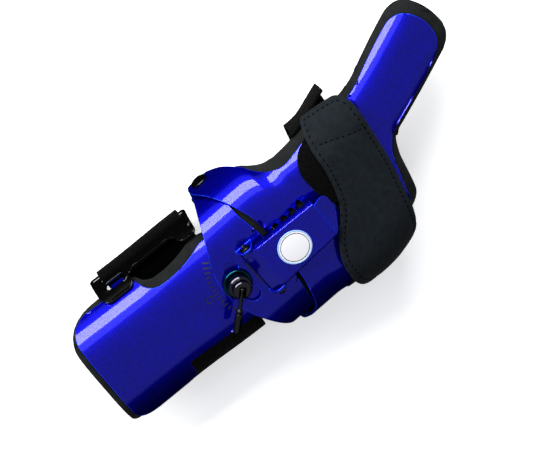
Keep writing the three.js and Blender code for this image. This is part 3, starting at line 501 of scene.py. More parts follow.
forearmPlate = {
    "corners": [  # along, across and rounding
        (-134, 49.8, 46), (-93.9, 47, 0.6), (-93.9, 54, 2), (-82.9, 54, 2), (-82.9, 47, 0.6), (-78.4, 47, 8),
        (-73.7, 31, 12), (-48.2, 30.1, 20), (-22.8, 39.5, 8), (-8, 21.2, 8), (13, 13, 13), (13, -13, 13),
        (-8, -21.2, 8), (-18.8, -30.6, 6), (-83.1, -27.1, 3), (-85.8, -54.4, 12), (-134, -56.3, 46),
    ],
    "cell": (6, 2.4),
    "edge": 0.45,
}
mesh = flatBlank(forearmPlate["corners"], -sheetWall, 0, *forearmPlate["cell"])
for x in (-lockReach, 0):
    mesh = combine(mesh, roundPrism(x, 0, screwHole, cutLow, cutHigh), "DIFFERENCE")
bend(mesh, armForm)
finishPiece(
    mesh, "forearmPlate", "forearm", blueLacquer, ["forearm_plate"], bevel=forearmPlate["edge"]
)

wristPlate = {
    "half": [
        (-35.5, 14.7, 12), (-19.9, 43.6, 14), (-12.8, 63.9, 20), (-11, 72.8, 6), (-11, 87.1, 11),
        (11, 87.1, 11), (11, 69.5, 8), (3.5, 45.8, 14), (8.6, 18.1, 10),
    ],
    "cell": (4, 2.2),
    "slotTravel": math.radians(30),
    "slotHalf": 5,
    "lugInner": 17.3,
    "lugWall": 2,
    "lugFoot": (6.5, 35, 0.2),  # half width, height, rounding
    "lugTop": (4.8, 46.6, 4.4),
    "pin": (-5.6, 42.4),
    "edge": 0.45,
}
pinX, pinZ = wristPlate["pin"]
half = wristPlate["half"]
crownEdge = wristForm["rows"][0][2]
otherHalf = [(x, -y - (ulnarReach if y > crownEdge else 0), r) for x, y, r in reversed(half)]
mesh = flatBlank(half + otherHalf, -sheetWall, 0, *wristPlate["cell"])
slotMesh = bmesh.new()  # curved slot: a short edge at the end of the travel is spun round the swivel
travel = wristPlate["slotTravel"]
startTurn = Matrix.Rotation(math.pi - travel, 3, "Z")
edgeVerts = [
    slotMesh.verts.new(startTurn @ Vector((lockReach + s * wristPlate["slotHalf"], 0, h)))
    for s, h in ((-1, cutLow), (1, cutLow), (1, cutHigh), (-1, cutHigh))
]
firstFace = slotMesh.faces.new(edgeVerts)
bmesh.ops.spin(
    slotMesh, geom=[firstFace], cent=(0, 0, 0), axis=(0, 0, 1), angle=travel * 2, steps=20,
    use_merge=False, use_duplicate=False,
)
bmesh.ops.recalc_face_normals(slotMesh, faces=slotMesh.faces)
mesh = combine(mesh, slotMesh, "DIFFERENCE")
for sign in (-1, 1):
    x, y = lockReach * -math.cos(travel), sign * lockReach * math.sin(travel)
    mesh = combine(mesh, roundPrism(x, y, wristPlate["slotHalf"], cutLow, cutHigh, 40), "DIFFERENCE")
mesh = combine(mesh, roundPrism(0, 0, screwHole, cutLow, cutHigh), "DIFFERENCE")
bend(mesh, wristForm)
footHalf, footZ, footRound = wristPlate["lugFoot"]
topHalf, topZ, topRound = wristPlate["lugTop"]
lugInner, lugWall = wristPlate["lugInner"], wristPlate["lugWall"]
for side in (-lugInner, lugInner + lugWall):
    lug = prism([
        (pinX - footHalf, footZ, footRound), (pinX + footHalf, footZ, footRound),
        (pinX + topHalf, topZ, topRound), (pinX - topHalf, topZ, topRound),
    ], 0, lugWall)
    turnMesh(lug, math.pi / 2, "X")
    bmesh.ops.translate(lug, verts=lug.verts, vec=(0, side, 0))
    mesh = combine(mesh, lug, "UNION")
finishPiece(
    mesh, "wristPlate", "wrist", blueLacquer, ["wrist_plate"], seatWrist,
    bevel=wristPlate["edge"],
)

handPlate = {
    "corners": [
        (191.9, 7.9, 14), (184.3, 25, 14), (157.7, 25.4, 30), (117.8, 22.1, 30), (95, 34.1, 16),
        (57, 37.9, 16), (32.3, 56, 20), (11.4, 87.4, 14), (-6.3, 96.2, 10), (-11.9, 78.4, 8), (2, 57, 14),
        (12.2, 30, 8), (11.6, 0, 10), (10.5, -26, 8), (2, -63.5, 14), (-11.9, -84.9, 8), (-6.3, -102.7, 10),
        (11.4, -93.9, 14), (45.6, -80, 24), (76, -66, 16), (95, -36, 16), (108.3, -19.2, 14),
        (125.4, -17.5, 30), (159.6, -18.7, 30), (178.6, -17, 14), (187.2, -8.9, 10),
    ],
    "cell": (4, 2.4),
    "slots": (18.6, 8, 4, 5, 18),  # first one, pitch, how many, width, half length
    "edge": 0.45,
}
mesh = flatBlank(handPlate["corners"], -sheetWall, 0, *handPlate["cell"])
firstSlot, pitch, slotCount, slotWidth, slotHalf = handPlate["slots"]
for i in range(slotCount):
    x = firstSlot + pitch * i
    corners = boxCorners(x - slotWidth / 2, x + slotWidth / 2, -slotHalf, slotHalf, 2)
    mesh = combine(mesh, prism(corners, cutLow, cutHigh), "DIFFERENCE")
bend(mesh, handForm)
finishPiece(
    mesh, "handPlate", "hand", blueLacquer, ["hand_plate"], seatWrist, bevel=handPlate["edge"]
)
print("plates ready")


# Foam pads
foamPads = {
    "low": -5.6, "high": -2.6, "cell": (6, 3), "smallCell": (3, 2.5), "edge": 0.9, "smallEdge": 0.4,
    "forearm": [
        (-138.4, 55, 50), (-77.7, 55, 8), (-73, 39.4, 12), (-48.2, 39, 20), (-26.8, 48.6, 10),
        (-5.4, 28.2, 14), (0, 9.4, 6), (0, -19.9, 6), (-97, -19.9, 2), (-97, -61.5, 8), (-138.4, -61.5, 50),
    ],
    "hand": [
        (200.1, 10.1, 20), (191.9, 33.9, 20), (157.7, 33.6, 30), (121.6, 29.4, 24), (95, 44.8, 20),
        (57, 51.8, 24), (28.5, 68, 16), (17, 78, 6), (17, -84.1, 6), (45.6, -89.9, 20), (83.6, -74, 16),
        (98.8, -42, 18), (110.2, -25.6, 12), (129.2, -25.9, 24), (159.6, -26.9, 30), (184.3, -25.9, 20),
        (194.9, -14.1, 16),
    ],
    "wing": [(-12, 62.9, 5), (-12.8, 86, 8), (11, 86, 8), (11, 62.9, 6)],
    "wingWall": 1.3,
    "lining": [(1, 13.6, 1), (-6, 24, 3), (-9, 61, 4), (14, 61, 4), (16.8, 13.6, 0.5)],
    "liningMiddle": [(8, -15, 1), (8, 15, 1), (16.8, 15, 0.5), (16.8, -15, 0.5)],
}


def foamPiece(name, corners, form, low, high, body, node, seat, cell, edge):
    made = flatBlank(corners, low, high, *cell)
    bend(made, form)
    piece = finishPiece(made, name, body, foam, [node], seat, bevel=edge)
    piece.modifiers["edge"].segments = 3


low, high, cell, edge = (foamPads[key] for key in ("low", "high", "cell", "edge"))
foamPiece(
    "forearmPad", foamPads["forearm"], armForm, low, high, "forearm", "forearm_pad", seatForearm, cell, edge
)
foamPiece("handPad", foamPads["hand"], handForm, low, high, "hand", "hand_pad", seatWrist, cell, edge)
for name, node, sign in (("wingPadThumb", "wing_pad_thumb", 1), ("wingPadOther", "wing_pad_ulnar", -1)):
    corners = [(x, (y + (ulnarReach if sign < 0 else 0)) * sign, r) for x, y, r in foamPads["wing"]]
    foamPiece(
        name, corners, wristForm, high - foamPads["wingWall"], high, "wrist", node, seatWrist,
        foamPads["smallCell"], foamPads["smallEdge"],
    )
thumbLining = foamPads["lining"]
otherLining = [(x, -y if y < 20 else -y - ulnarReach, r) for x, y, r in thumbLining]
for name, corners, top, wall in (
    ("wristLiningThumb", thumbLining, -2.3, 2),
    ("wristLiningOther", otherLining, -2.3, 2),
    ("wristLiningMiddle", foamPads["liningMiddle"], -4.7, 1.3),
):
    lining = flatBlank(corners, top - wall, top, *foamPads["smallCell"])
    bend(lining, wristForm)
    finishPiece(lining, name, "wrist", foam, (), seatWrist, bevel=0.3)
print("foam ready")


# Straps
def strideMarks(half, start, arcSteps, cornerSteps=10):
    corner = strapCorner * math.pi / 2
    cornerStart = half["total"] - half["under"] - corner
    sideStart = max(cornerStart - half["straight"], start)
    marks = [start + (sideStart + 0.01 - start) * (i + 1) / arcSteps for i in range(arcSteps)]
    marks.append(marks[-1] + (cornerStart + 0.02 - marks[-1]) * 0.99)
    marks += [cornerStart + 0.03 + corner * (i + 1) / cornerSteps for i in range(cornerSteps)]
    marks += [half["total"] - half["under"] * share for share in (0.75, 0.5, 0.25, 0)]
    return marks


def smoothStep(value, low, high):
    t = min(max((value - low) / (high - low), 0), 1)
    return t * t * (3 - 2 * t)


def strapPoints(form, along, line, slant):
    section = sectionAt(form, along)
    points = []
    for k, (y, _) in enumerate(sectionPoint(section, across, lift) for across, lift in line(section)):
        station = along + slant * y
        here = sectionAt(form, station)
        points.append(placeSection(form, station, *sectionPoint(here, *line(here)[k])))
    return points


def strapLength(form, rear, front, line, slant=0):
    points = strapPoints(form, (rear + front) / 2, line, slant)
    return sum((b - a).length for a, b in zip(points, points[1:])) * millimetre


def sweptStrap(form, rear, front, line, wall, cells, slant=0):
    # a line across the arm is extruded along it, step by step, and then given its thickness
    strap = bmesh.new()
    verts = [strap.verts.new(p) for p in strapPoints(form, rear, line, slant)]
    edges = [strap.edges.new(pair) for pair in zip(verts, verts[1:])]
    for i in range(cells):
        points = strapPoints(form, rear + (front - rear) * (i + 1) / cells, line, slant)
        order = {v: k for k, v in enumerate(verts)}
        raised = bmesh.ops.extrude_edge_only(strap, edges=edges)["geom"]
        edges = [g for g in raised if isinstance(g, bmesh.types.BMEdge)]
        fresh = [None] * len(verts)
        for vert in (g for g in raised if isinstance(g, bmesh.types.BMVert)):
            nearest = min(order, key=lambda v: (v.co - vert.co).length_squared)
            fresh[order[nearest]] = vert
        for vert, point in zip(fresh, points):
            vert.co = point
        verts = fresh
    bmesh.ops.recalc_face_normals(strap, faces=strap.faces)
    strap.normal_update()
    for vert, way in [(v, v.normal.copy()) for v in strap.verts]:
        vert.co -= way * wall / 2
    bmesh.ops.solidify(strap, geom=strap.faces[:], thickness=wall)
    return strap


forearmStrap = {
    "rear": -96, "front": -28, "wall": 2, "start": -20.21, "cells": 10,
    "bar": 67, "barLift": 1.55, "turn": 5.02, "turnSteps": 14,
}
innerLift, outerLift = -3.3, -1  # middles of a strap's two layers, from the form's surface


def forearmLine(section):
    other, thumb = halfRound(section, -1), halfRound(section, 1)
    bar, barLift, turn = forearmStrap["bar"], forearmStrap["barLift"], forearmStrap["turn"]
    line = [(forearmStrap["start"], innerLift)]
    line += [(-a, innerLift) for a in strideMarks(other, -forearmStrap["start"], 20)]
    marks = strideMarks(thumb, bar, 2)
    for a in marks[::-1][1:]:
        share = smoothStep(thumb["total"] - a, thumb["under"] * 0.9, thumb["total"] - bar - 2)
        line.append((a, innerLift + (barLift - turn - innerLift) * share))
    line.append((bar, barLift - turn))
    for i in range(1, forearmStrap["turnSteps"]):
        angle = math.pi * i / forearmStrap["turnSteps"]
        line.append((bar - turn * math.sin(angle), barLift - turn * math.cos(angle)))
    line.append((bar, barLift + turn))
    for a in marks:
        share = smoothStep(a, bar + 1, thumb["total"] - thumb["under"] * 0.8)
        line.append((a, barLift + turn + (outerLift - barLift - turn) * share))
    for i in range(1, 5):
        line.append((-other["total"] + other["under"] * i / 4, outerLift))
    return line


mesh = sweptStrap(
    armForm, forearmStrap["rear"], forearmStrap["front"], forearmLine, forearmStrap["wall"],
    forearmStrap["cells"],
)
strapPiece = finishPiece(mesh, "forearmStrap", "forearm", pile, ["forearm_strap"], bevel=0.4)
length = strapLength(armForm, forearmStrap["rear"], forearmStrap["front"], forearmLine)
print(f"forearm strap {length:.3f} m long")

handBand = {
    "start": 33, "end": 42, "lift": 1.9, "rear": 60, "front": 100, "wall": 2, "cells": 10, "slant": 0.45,
}


def bandLine(section):
    other, thumb = halfRound(section, -1), halfRound(section, 1)
    lift = handBand["lift"]
    line = [(handBand["start"] + (thumb["flat"] - handBand["start"]) * i / 6, lift) for i in range(6)]
    line += [(thumb["flat"] - (other["flat"] + thumb["flat"]) * i / 8, lift) for i in range(9)]
    marks = strideMarks(other, other["flat"], 18)
    for a in marks:
        share = smoothStep(a, marks[16], marks[-5])
        line.append((-a, lift + (outerLift - lift) * share))
    marks = strideMarks(thumb, handBand["end"], 4)
    for a in marks[::-1][1:]:
        share = smoothStep(thumb["total"] - a, thumb["under"], thumb["total"] - marks[1])
        line.append((a, outerLift + (lift - outerLift) * share))
    return line


mesh = sweptStrap(
    strapForm, handBand["rear"], handBand["front"], bandLine, handBand["wall"], handBand["cells"],
    handBand["slant"],
)
bandPiece = finishPiece(mesh, "strapBand", "hand", pile, ["strap_band"], seatWrist, bevel=0.4)
length = strapLength(strapForm, handBand["rear"], handBand["front"], bandLine, handBand["slant"])
print(f"hand band {length:.3f} m long")

# rounded free end of the band, which lies on its own first layer
bandEnd = {
    "corners": [(88, 34, 2), (67, 33.5, 11), (57, 13, 14), (57, -6, 4), (95, -6, 2), (95, 30, 2)],
    "low": 1.05, "wall": 2, "cell": (2.5, 2.5),
}
mesh = flatBlank(bandEnd["corners"], bandEnd["low"], bandEnd["low"] + bandEnd["wall"], *bandEnd["cell"])
bend(mesh, strapForm)
endPiece = finishPiece(mesh, "strapBandEnd", "hand", pile, (), seatWrist, bevel=0.4)

handTab = {
    "corners": [
        (122.5, 21.6, 8), (119.7, 30, 3), (93.1, 42.5, 3), (81.7, 28.8, 20), (70.3, 8, 26), (58.9, -8, 12),
        (34.2, -27, 16), (31.4, -62, 18), (41.8, -84, 14), (62.7, -76, 16), (95, -34, 40),
    ],
    "low": 4.16, "wall": 2.6, "cell": (1.6, 1.6), "cornerSteps": 10,
    "seam": 3.3, "seamWidth": 1.0, "seamDepth": 0.6, "crossSeam": ((84, 25), (114, 4)),
    "crown": 0.5, "crownReach": 1.2,  # fall of the upper face to the rim, and how far in it starts
    "stitch": 2.6, "stitchPitch": 3.7, "stitchRise": 0.15, "thread": 0.42,
}
outlineMesh = bmesh.new()
outlineFace(outlineMesh, handTab["corners"], handTab["cornerSteps"])
rim = [v.co.xy.copy() for v in max(outlineMesh.faces, key=lambda f: f.calc_area()).verts]
outlineMesh.free()


def lineDistance(point, a, b):
    run = b - a
    t = min(max((point - a).dot(run) / max(run.length_squared, 1e-9), 0), 1)
    return (a + run * t - point).length


crossSeam = [Vector(end) for end in handTab["crossSeam"]]


def tabTop(point):
    # lift of the tab's upper face over its plain thickness: sewn grooves inside the edge and across
    fromRim = min(lineDistance(point, a, b) for a, b in zip(rim, rim[1:] + rim[:1]))
    gap = min(abs(fromRim - handTab["seam"]), lineDistance(point, *crossSeam))
    groove = math.exp(-((gap / handTab["seamWidth"]) ** 2))
    fall = handTab["crown"] * max(0, 1 - fromRim / handTab["crownReach"]) ** 2
    return -handTab["seamDepth"] * groove - fall


mesh = flatBlank(
    handTab["corners"], handTab["low"], handTab["low"] + handTab["wall"], *handTab["cell"],
    handTab["cornerSteps"],
)
for vert in mesh.verts:
    if vert.co.z > handTab["low"] + handTab["wall"] / 2:
        vert.co.z += tabTop(vert.co.xy)
bend(mesh, strapForm)
tabPiece = finishPiece(mesh, "strapTab", "hand", neoprene, ["strap_tab"], seatWrist, bevel=0.5)


def stitchRow(row, points, pitch, length, thread, form, lift):
    # short capsules along a line in the flat of a sheet
    walked, target = 0, pitch
    for a, b in zip(points, points[1:]):
        run = (b - a).length
        while walked + run > target:
            centre = a + (b - a) * ((target - walked) / run)
            along = (b - a).normalized() * length / 2
            ends = [formPoint(form, *(centre + along * s), lift) for s in (-1, 1)]
            middle, direction = (ends[0] + ends[1]) / 2, ends[1] - ends[0]
            capsule = bmesh.ops.create_uvsphere(row, u_segments=6, v_segments=4, radius=1)["verts"]
            turn = direction.to_track_quat("Z", "Y").to_matrix().to_4x4()
            bmesh.ops.transform(
                row, verts=capsule,
                matrix=Matrix.Translation(middle) @ turn @ Matrix.Diagonal((thread, thread, length / 2, 1)),
            )
            target += pitch
        walked += run


area = sum(a.x * b.y - b.x * a.y for a, b in zip(rim, rim[1:] + rim[:1]))
inner = []
for i, here in enumerate(rim):
    tangent = (rim[(i + 1) % len(rim)] - rim[i - 1]).normalized()
    inward = Vector((-tangent.y, tangent.x)) * (1 if area > 0 else -1)
    inner.append(here + inward * handTab["seam"])
mesh = bmesh.new()
for points in (inner + inner[:1], crossSeam):
    stitchRow(
        mesh, points, handTab["stitchPitch"], handTab["stitch"], handTab["thread"], strapForm,
        handTab["low"] + handTab["wall"] - handTab["seamDepth"] + handTab["stitchRise"],
    )
finishPiece(mesh, "tabStitches", "hand", sewingThread, (), seatWrist)
print("straps ready")


# Buckle
buckle = {
    "corners": [
        (-104, 48, 5), (-101, 41, 4), (-78.9, 41, 5), (-76.9, 53.4, 5), (-41, 53.4, 5), (-38, 44, 4),
        (-25, 44, 4), (-23, 70.5, 3), (-104, 70.5, 3),
    ],
    "low": 0.3, "wall": 2.5, "bar": 67, "cell": (3, 1.5), "cutter": (-4, 6),
    "window": (-97, -27, 60.2, 63.5, 1), "tabHole": (-95.9, -80.9, 49, 55.5, 3),
    "roller": 2.25, "rollerRear": -101.5, "rollerLength": 76, "rollerCell": 6.33,
}
mesh = flatBlank(buckle["corners"], buckle["low"], buckle["low"] + buckle["wall"], *buckle["cell"])
for opening in ("window", "tabHole"):
    mesh = combine(mesh, prism(boxCorners(*buckle[opening]), *buckle["cutter"]), "DIFFERENCE")
bend(mesh, armForm)
finishPiece(mesh, "buckleFrame", "forearm", blackAcetal, ["buckle_frame"], bevel=0.7)
rollerMiddle = buckle["rollerRear"] + buckle["rollerLength"] / 2
mesh = bmesh.new()
bmesh.ops.create_cone(
    mesh, cap_ends=True, segments=24, radius1=buckle["roller"], radius2=buckle["roller"],
    depth=buckle["rollerLength"],
    matrix=Matrix.Translation((rollerMiddle, buckle["bar"], buckle["low"] + buckle["wall"] / 2))
    @ Matrix.Rotation(math.pi / 2, 4, "Y"),
)
for cut in range(1, 12):
    bmesh.ops.bisect_plane(
        mesh, geom=mesh.verts[:] + mesh.edges[:] + mesh.faces[:],
        plane_co=(buckle["rollerRear"] + cut * buckle["rollerCell"], 0, 0), plane_no=(1, 0, 0),
    )
bend(mesh, armForm)
finishPiece(mesh, "buckleRoller", "forearm", blackNickel, (), bevel=0.4)


# Swivel screw, lock stud and knob, lever
swivel = {
    "foot": 31.7, "top": 36.3, "shank": 3, "head": 4, "headWall": 0.7, "washer": 10.3, "washerWall": 2.6,
}
foot, top, shank = swivel["foot"], swivel["top"], swivel["shank"]
head, headTop = swivel["head"], top + swivel["headWall"]
mesh = lathe(roundedProfile([
    (0, foot), (shank, foot), (shank, top), (head, top), (head, top + 0.5), (head - 0.2, headTop),
    (0, headTop),
], 0.15))
finishPiece(mesh, "pivotScrew", "forearm", brightSteel, ["pivot_screw"])
washer, washerTop = swivel["washer"], top + swivel["washerWall"]
mesh = lathe(roundedProfile([
    (0, foot), (shank, foot), (shank, top), (washer, top), (washer, top + 1.9), (washer - 0.8, washerTop),
    (0, washerTop),
], 0.35), 64, place=(-lockReach, 0, 0))
finishPiece(mesh, "lockStud", "forearm", blueZinc, ["lock_stud"])

lockKnob = {
    "base": 39.2, "radius": 8.3, "height": 6.8, "topRadius": 6.4, "top": 51.0, "heading": math.radians(229),
    "notch": (46.2, 54), "notchGap": 0.7,
}
base, knobTop, shoulder = lockKnob["base"], lockKnob["top"], lockKnob["base"] + lockKnob["height"]
knobRadius, discRadius = lockKnob["radius"], lockKnob["topRadius"]
mesh = lathe(roundedProfile([
    (0, base), (knobRadius - 0.6, base), (knobRadius, base + 0.8), (knobRadius, base + 5.6),
    (knobRadius - 1.2, shoulder), (discRadius, shoulder), (discRadius, knobTop - 1.1),
    (discRadius - 1.1, knobTop), (0, knobTop),
], 0.5), 64)
lever = {
    "rod": 1.65, "rodEnd": 17.2, "sleeve": 2.75, "reach": 32, "droop": math.radians(5), "height": 48.75,
}
notchHalf = lever["rod"] + lockKnob["notchGap"]
notchCorners = boxCorners(-lever["rod"] - 0.9, discRadius * 2, -notchHalf, notchHalf, 0.6)
notch = prism(notchCorners, *lockKnob["notch"])
turnMesh(notch, lockKnob["heading"], "Z")
mesh = combine(mesh, notch, "DIFFERENCE")
bmesh.ops.translate(mesh, verts=mesh.verts, vec=(-lockReach, 0, 0))
finishPiece(mesh, "lockKnob", "knob", blackNickel, ["lock_knob"], bevel=0.2)

leverTurn = (
    Matrix.Translation((-lockReach, 0, lever["height"]))
    @ Matrix.Rotation(lockKnob["heading"], 4, "Z")
    @ Matrix.Rotation(lever["droop"], 4, "Y")
)
rodEnd = lever["rodEnd"]
ball, rod = lever["rod"] + 0.35, lever["rod"] - 0.2
mesh = lathe(roundedProfile([
    (0, -ball), (ball * 0.75, -ball * 0.7), (ball, 0), (ball * 0.75, ball * 0.8), (rod, ball * 1.25),
    (rod, rodEnd - 3.2), (2.4, rodEnd - 2.6), (2.5, rodEnd - 1.2), (2.1, rodEnd), (0, rodEnd),
], 0.4), 32, "X")
bmesh.ops.transform(mesh, matrix=leverTurn, verts=mesh.verts)
finishPiece(mesh, "leverRod", "lever", blackNickel, ["lever_rod"])
sleeve, reach = lever["sleeve"], lever["reach"]
mesh = lathe(roundedProfile([
    (0, rodEnd + 0.3), (sleeve - 0.5, rodEnd + 0.3), (sleeve - 0.3, rodEnd + 1.4), (sleeve, rodEnd + 2.2),
    (sleeve - 0.15, reach - 1.2), (sleeve - 0.9, reach), (0, reach),
], 0.4), 32, "X")
bmesh.ops.transform(mesh, matrix=leverTurn, verts=mesh.verts)
finishPiece(mesh, "leverSleeve", "lever", blackAcetal, ["lever_sleeve"])


# Rivets, cover pin, leaf spring
rivet = {"shank": 2.2, "collar": 4.35, "head": 6.2, "dome": 2.6}
wristSide, handSide = 54.5, 59.3  # outer faces of the wrist plate's and the hand plate's wings
rivetRows = [
    (0, wristSide - 2), (rivet["shank"], wristSide - 2), (rivet["shank"], wristSide + 0.3),
    (rivet["collar"], wristSide + 0.3), (rivet["collar"], handSide - 2.3), (rivet["shank"], handSide - 2.3),
    (rivet["shank"], handSide + 0.3), (rivet["head"], handSide + 0.3), (rivet["head"] - 0.1, handSide + 0.9),
]
for i in range(1, 9):
    angle = math.pi / 2 * i / 8
    rise = handSide + 0.6 + (rivet["dome"] - 0.3) * math.sin(angle)
    rivetRows.append((rivet["head"] * math.cos(angle), rise))
rivetRows[-1] = (0, handSide + 0.3 + rivet["dome"])
for name, node, sign in (("rivetThumb", "rivet_thumb", 1), ("rivetOther", "rivet_ulnar", -1)):
    mesh = lathe(rivetRows, 40, "Y")
    if sign < 0:
        turnMesh(mesh, math.pi, "Z")
        bmesh.ops.translate(mesh, verts=mesh.verts, vec=(0, -ulnarReach, 0))
    finishPiece(mesh, name, "wrist", blackAcetal, [node], seatWrist)

pin = {"radius": 0.9, "end": 19.6, "hole": 1.2}
end = pin["end"]
mesh = lathe(roundedProfile([
    (0, -end - 3.2), (1.6, -end - 3.1), (3.0, -end - 2.2), (3.4, -end), (pin["radius"], -end),
    (pin["radius"], end), (3.6, end), (3.6, end + 1.3), (2.5, end + 2), (1.6, end + 1.9), (1.3, end + 0.8),
    (0, end + 0.8),
], 0.25), 40, "Y", (pinX, 0, pinZ))
finishPiece(mesh, "coverPin", "wrist", blackNickel, ["cover_pin"], seatWrist)

leaf = {"rear": 6.6, "front": 3.0, "sides": (-11, 9), "heights": (36.3, 37)}
leafCorners = boxCorners(pinX - leaf["rear"], pinX - leaf["front"], *leaf["sides"], 0.6)
mesh = prism(leafCorners, *leaf["heights"])
finishPiece(
    mesh, "leafSpring", "wrist", blackNickel, ["leaf_spring"], seatWrist, bevel=0.1
)
print("hardware ready")


# Strut cover and badge
strutCover = {
    "rear": -11, "front": 47, "top": 48, "hem": 39.7, "wall": 1.6, "rearHalf": 17, "frontHalf": 14.8,
    "round": 1.6, "innerRound": 0.7, "hollow": (34, 53),  # the hollow's lowest height and its front
    "tongue": 10.5, "tongueHalf": 13, "drop": 0.62, "fold": 0.6,
    "hook": (42.9, 44.5, -9.9, 9.9, 0.3), "hookHeights": (34.2, 47.2),
}


def coverBlock(inset, hem, front):
    c = strutCover
    top = c["top"] - inset
    rear = c["rear"] + inset * 1.2
    block = bmesh.new()
    outline = [(rear, hem), (rear, c["hem"] + 1), (inset * 0.4, top), (front, top), (front, hem)]
    verts = [block.verts.new((x, 0, z)) for x, z in outline]
    face = block.faces.new(verts)
    halfWide = c["rearHalf"] - inset
    bmesh.ops.translate(block, verts=block.verts, vec=(0, halfWide, 0))
    moved = bmesh.ops.extrude_face_region(block, geom=[face], use_keep_orig=True)["geom"]
    moved = [g for g in moved if isinstance(g, bmesh.types.BMVert)]
    bmesh.ops.translate(block, verts=moved, vec=(0, -2 * halfWide, 0))
    for vert in block.verts:
        share = min(max(vert.co.x / c["front"], 0), 1)
        narrow = (c["rearHalf"] - c["frontHalf"]) * share
        vert.co.y = math.copysign(halfWide - narrow, vert.co.y)
    bmesh.ops.recalc_face_normals(block, faces=block.faces)
    rounding = c["innerRound"] if inset else c["round"]
    topEdges = [
        edge for edge in block.edges
        if min(v.co.z for v in edge.verts) > c["hem"]
        and max(v.co.x for v in edge.verts) < front + 1
        and not all(abs(v.co.x - front) < 0.01 for v in edge.verts)
    ]
    bmesh.ops.bevel(
        block, geom=topEdges, offset=rounding, offset_type="OFFSET", affect="EDGES",
        segments=5, profile=0.5, material=-1,
    )
    return block


front, wall = strutCover["front"], strutCover["wall"]
outer, hollow = coverBlock(0, strutCover["hem"], front), coverBlock(wall, *strutCover["hollow"])
mesh = combine(outer, hollow, "DIFFERENCE")
tip, tongueHalf, fold = front + strutCover["tongue"], strutCover["tongueHalf"], strutCover["fold"]
tongue = flatBlank([
    (front - 1.5, -tongueHalf, 0.1), (front + 1.6, -tongueHalf, 1), (tip, -1.3, 5), (tip, tongueHalf, 9),
    (front - 1.5, tongueHalf, 0.1),
], -wall, 0, 1.2, 3)
for vert in tongue.verts:
    run = max(vert.co.x - front + fold, 0)
    bentRun = run - fold * (1 - math.exp(-run / fold))  # the fold has a small radius
    vert.co.z += strutCover["top"] - strutCover["drop"] * bentRun
mesh = combine(mesh, tongue, "UNION")
hook = prism(boxCorners(*strutCover["hook"]), *strutCover["hookHeights"])
mesh = combine(mesh, hook, "UNION")
holeRows = [(0, -30), (pin["hole"], -30), (pin["hole"], 30), (0, 30)]
pinHole = lathe(holeRows, 32, "Y", (pinX, 0, pinZ))
bmesh.ops.recalc_face_normals(pinHole, faces=pinHole.faces)
mesh = combine(mesh, pinHole, "DIFFERENCE")
finishPiece(mesh, "strutCover", "cover", blueLacquer, ["strut_cover"], seatWrist, bevel=0.3)

badge = {"place": (19.74, -0.5, 0), "radius": 12, "base": 48.1, "sides": 72}
b, br = badge["base"], badge["radius"]
discRows = [(0, b), (br - 0.9, b), (br - 0.9, b + 0.55), (0, b + 0.62)]
mesh = lathe(roundedProfile(discRows, 0.2), badge["sides"], place=badge["place"])
finishPiece(mesh, "badgeDisc", "cover", whiteEnamel, ["badge"], seatWrist)
mesh = lathe(roundedProfile([
    (br - 1.0, b), (br, b), (br, b + 0.5), (br - 0.5, b + 0.72), (br - 1.0, b + 0.6), (br - 1.0, b),
], 0.15), badge["sides"], place=badge["place"])
finishPiece(mesh, "badgeRim", "cover", paleBlueRim, (), seatWrist)
mesh = lathe([
    (br - 2.3, b + 0.5), (br - 1.9, b + 0.5), (br - 1.9, b + 0.66), (br - 2.3, b + 0.66),
    (br - 2.3, b + 0.5),
], badge["sides"], place=badge["place"])
finishPiece(mesh, "badgeRing", "cover", darkInk, (), seatWrist)


# Stamped scale on the forearm plate, drawn as near-black strips: painted shade standing in for the stamped
# grooves
scale = {
    "first": 144.5, "step": 4.75, "count": 13, "width": 1.0,
    "inner": (37.7, 39.3), "length": (5.5, 3.1), "longTicks": 3,  # of the first tick and of the plain ones
    "zero": (-46.2, 1.6), "zeroSize": (2.5, 2.15), "line": 0.7,
}
mesh = bmesh.new()
for i in range(scale["count"]):
    angle = math.radians(scale["first"] + scale["step"] * i)
    share = min(i, scale["longTicks"]) / scale["longTicks"]
    start = scale["inner"][0] + (scale["inner"][1] - scale["inner"][0]) * share
    length = scale["length"][0] + (scale["length"][1] - scale["length"][0]) * share
    tick = bmesh.ops.create_cube(mesh, size=1)["verts"]
    bmesh.ops.transform(
        mesh, verts=tick,
        matrix=Matrix.Rotation(angle, 4, "Z")
        @ Matrix.Translation((start + length / 2, 0, 0.02))
        @ Matrix.Diagonal((length, scale["width"], 0.1, 1)),
    )
bend(mesh, armForm)
finishPiece(mesh, "scaleTicks", "forearm", stampShadeBlue, (), smooth=False)
zeroX, zeroY = scale["zeroSize"]
line = scale["line"] / (zeroX + zeroY)
ringLow, ringHigh = -0.02, 0.07
mesh = lathe([
    (1 - line, ringLow), (1 + line, ringLow), (1 + line, ringHigh), (1 - line, ringHigh), (1 - line, ringLow),
], 40)
bmesh.ops.scale(mesh, verts=mesh.verts, vec=(zeroX, zeroY, 1))
bmesh.ops.translate(mesh, verts=mesh.verts, vec=(*scale["zero"], 0))
bend(mesh, armForm)
finishPiece(mesh, "scaleZero", "forearm", stampShadeBlue, (), smooth=False)
print("cover and scale ready")


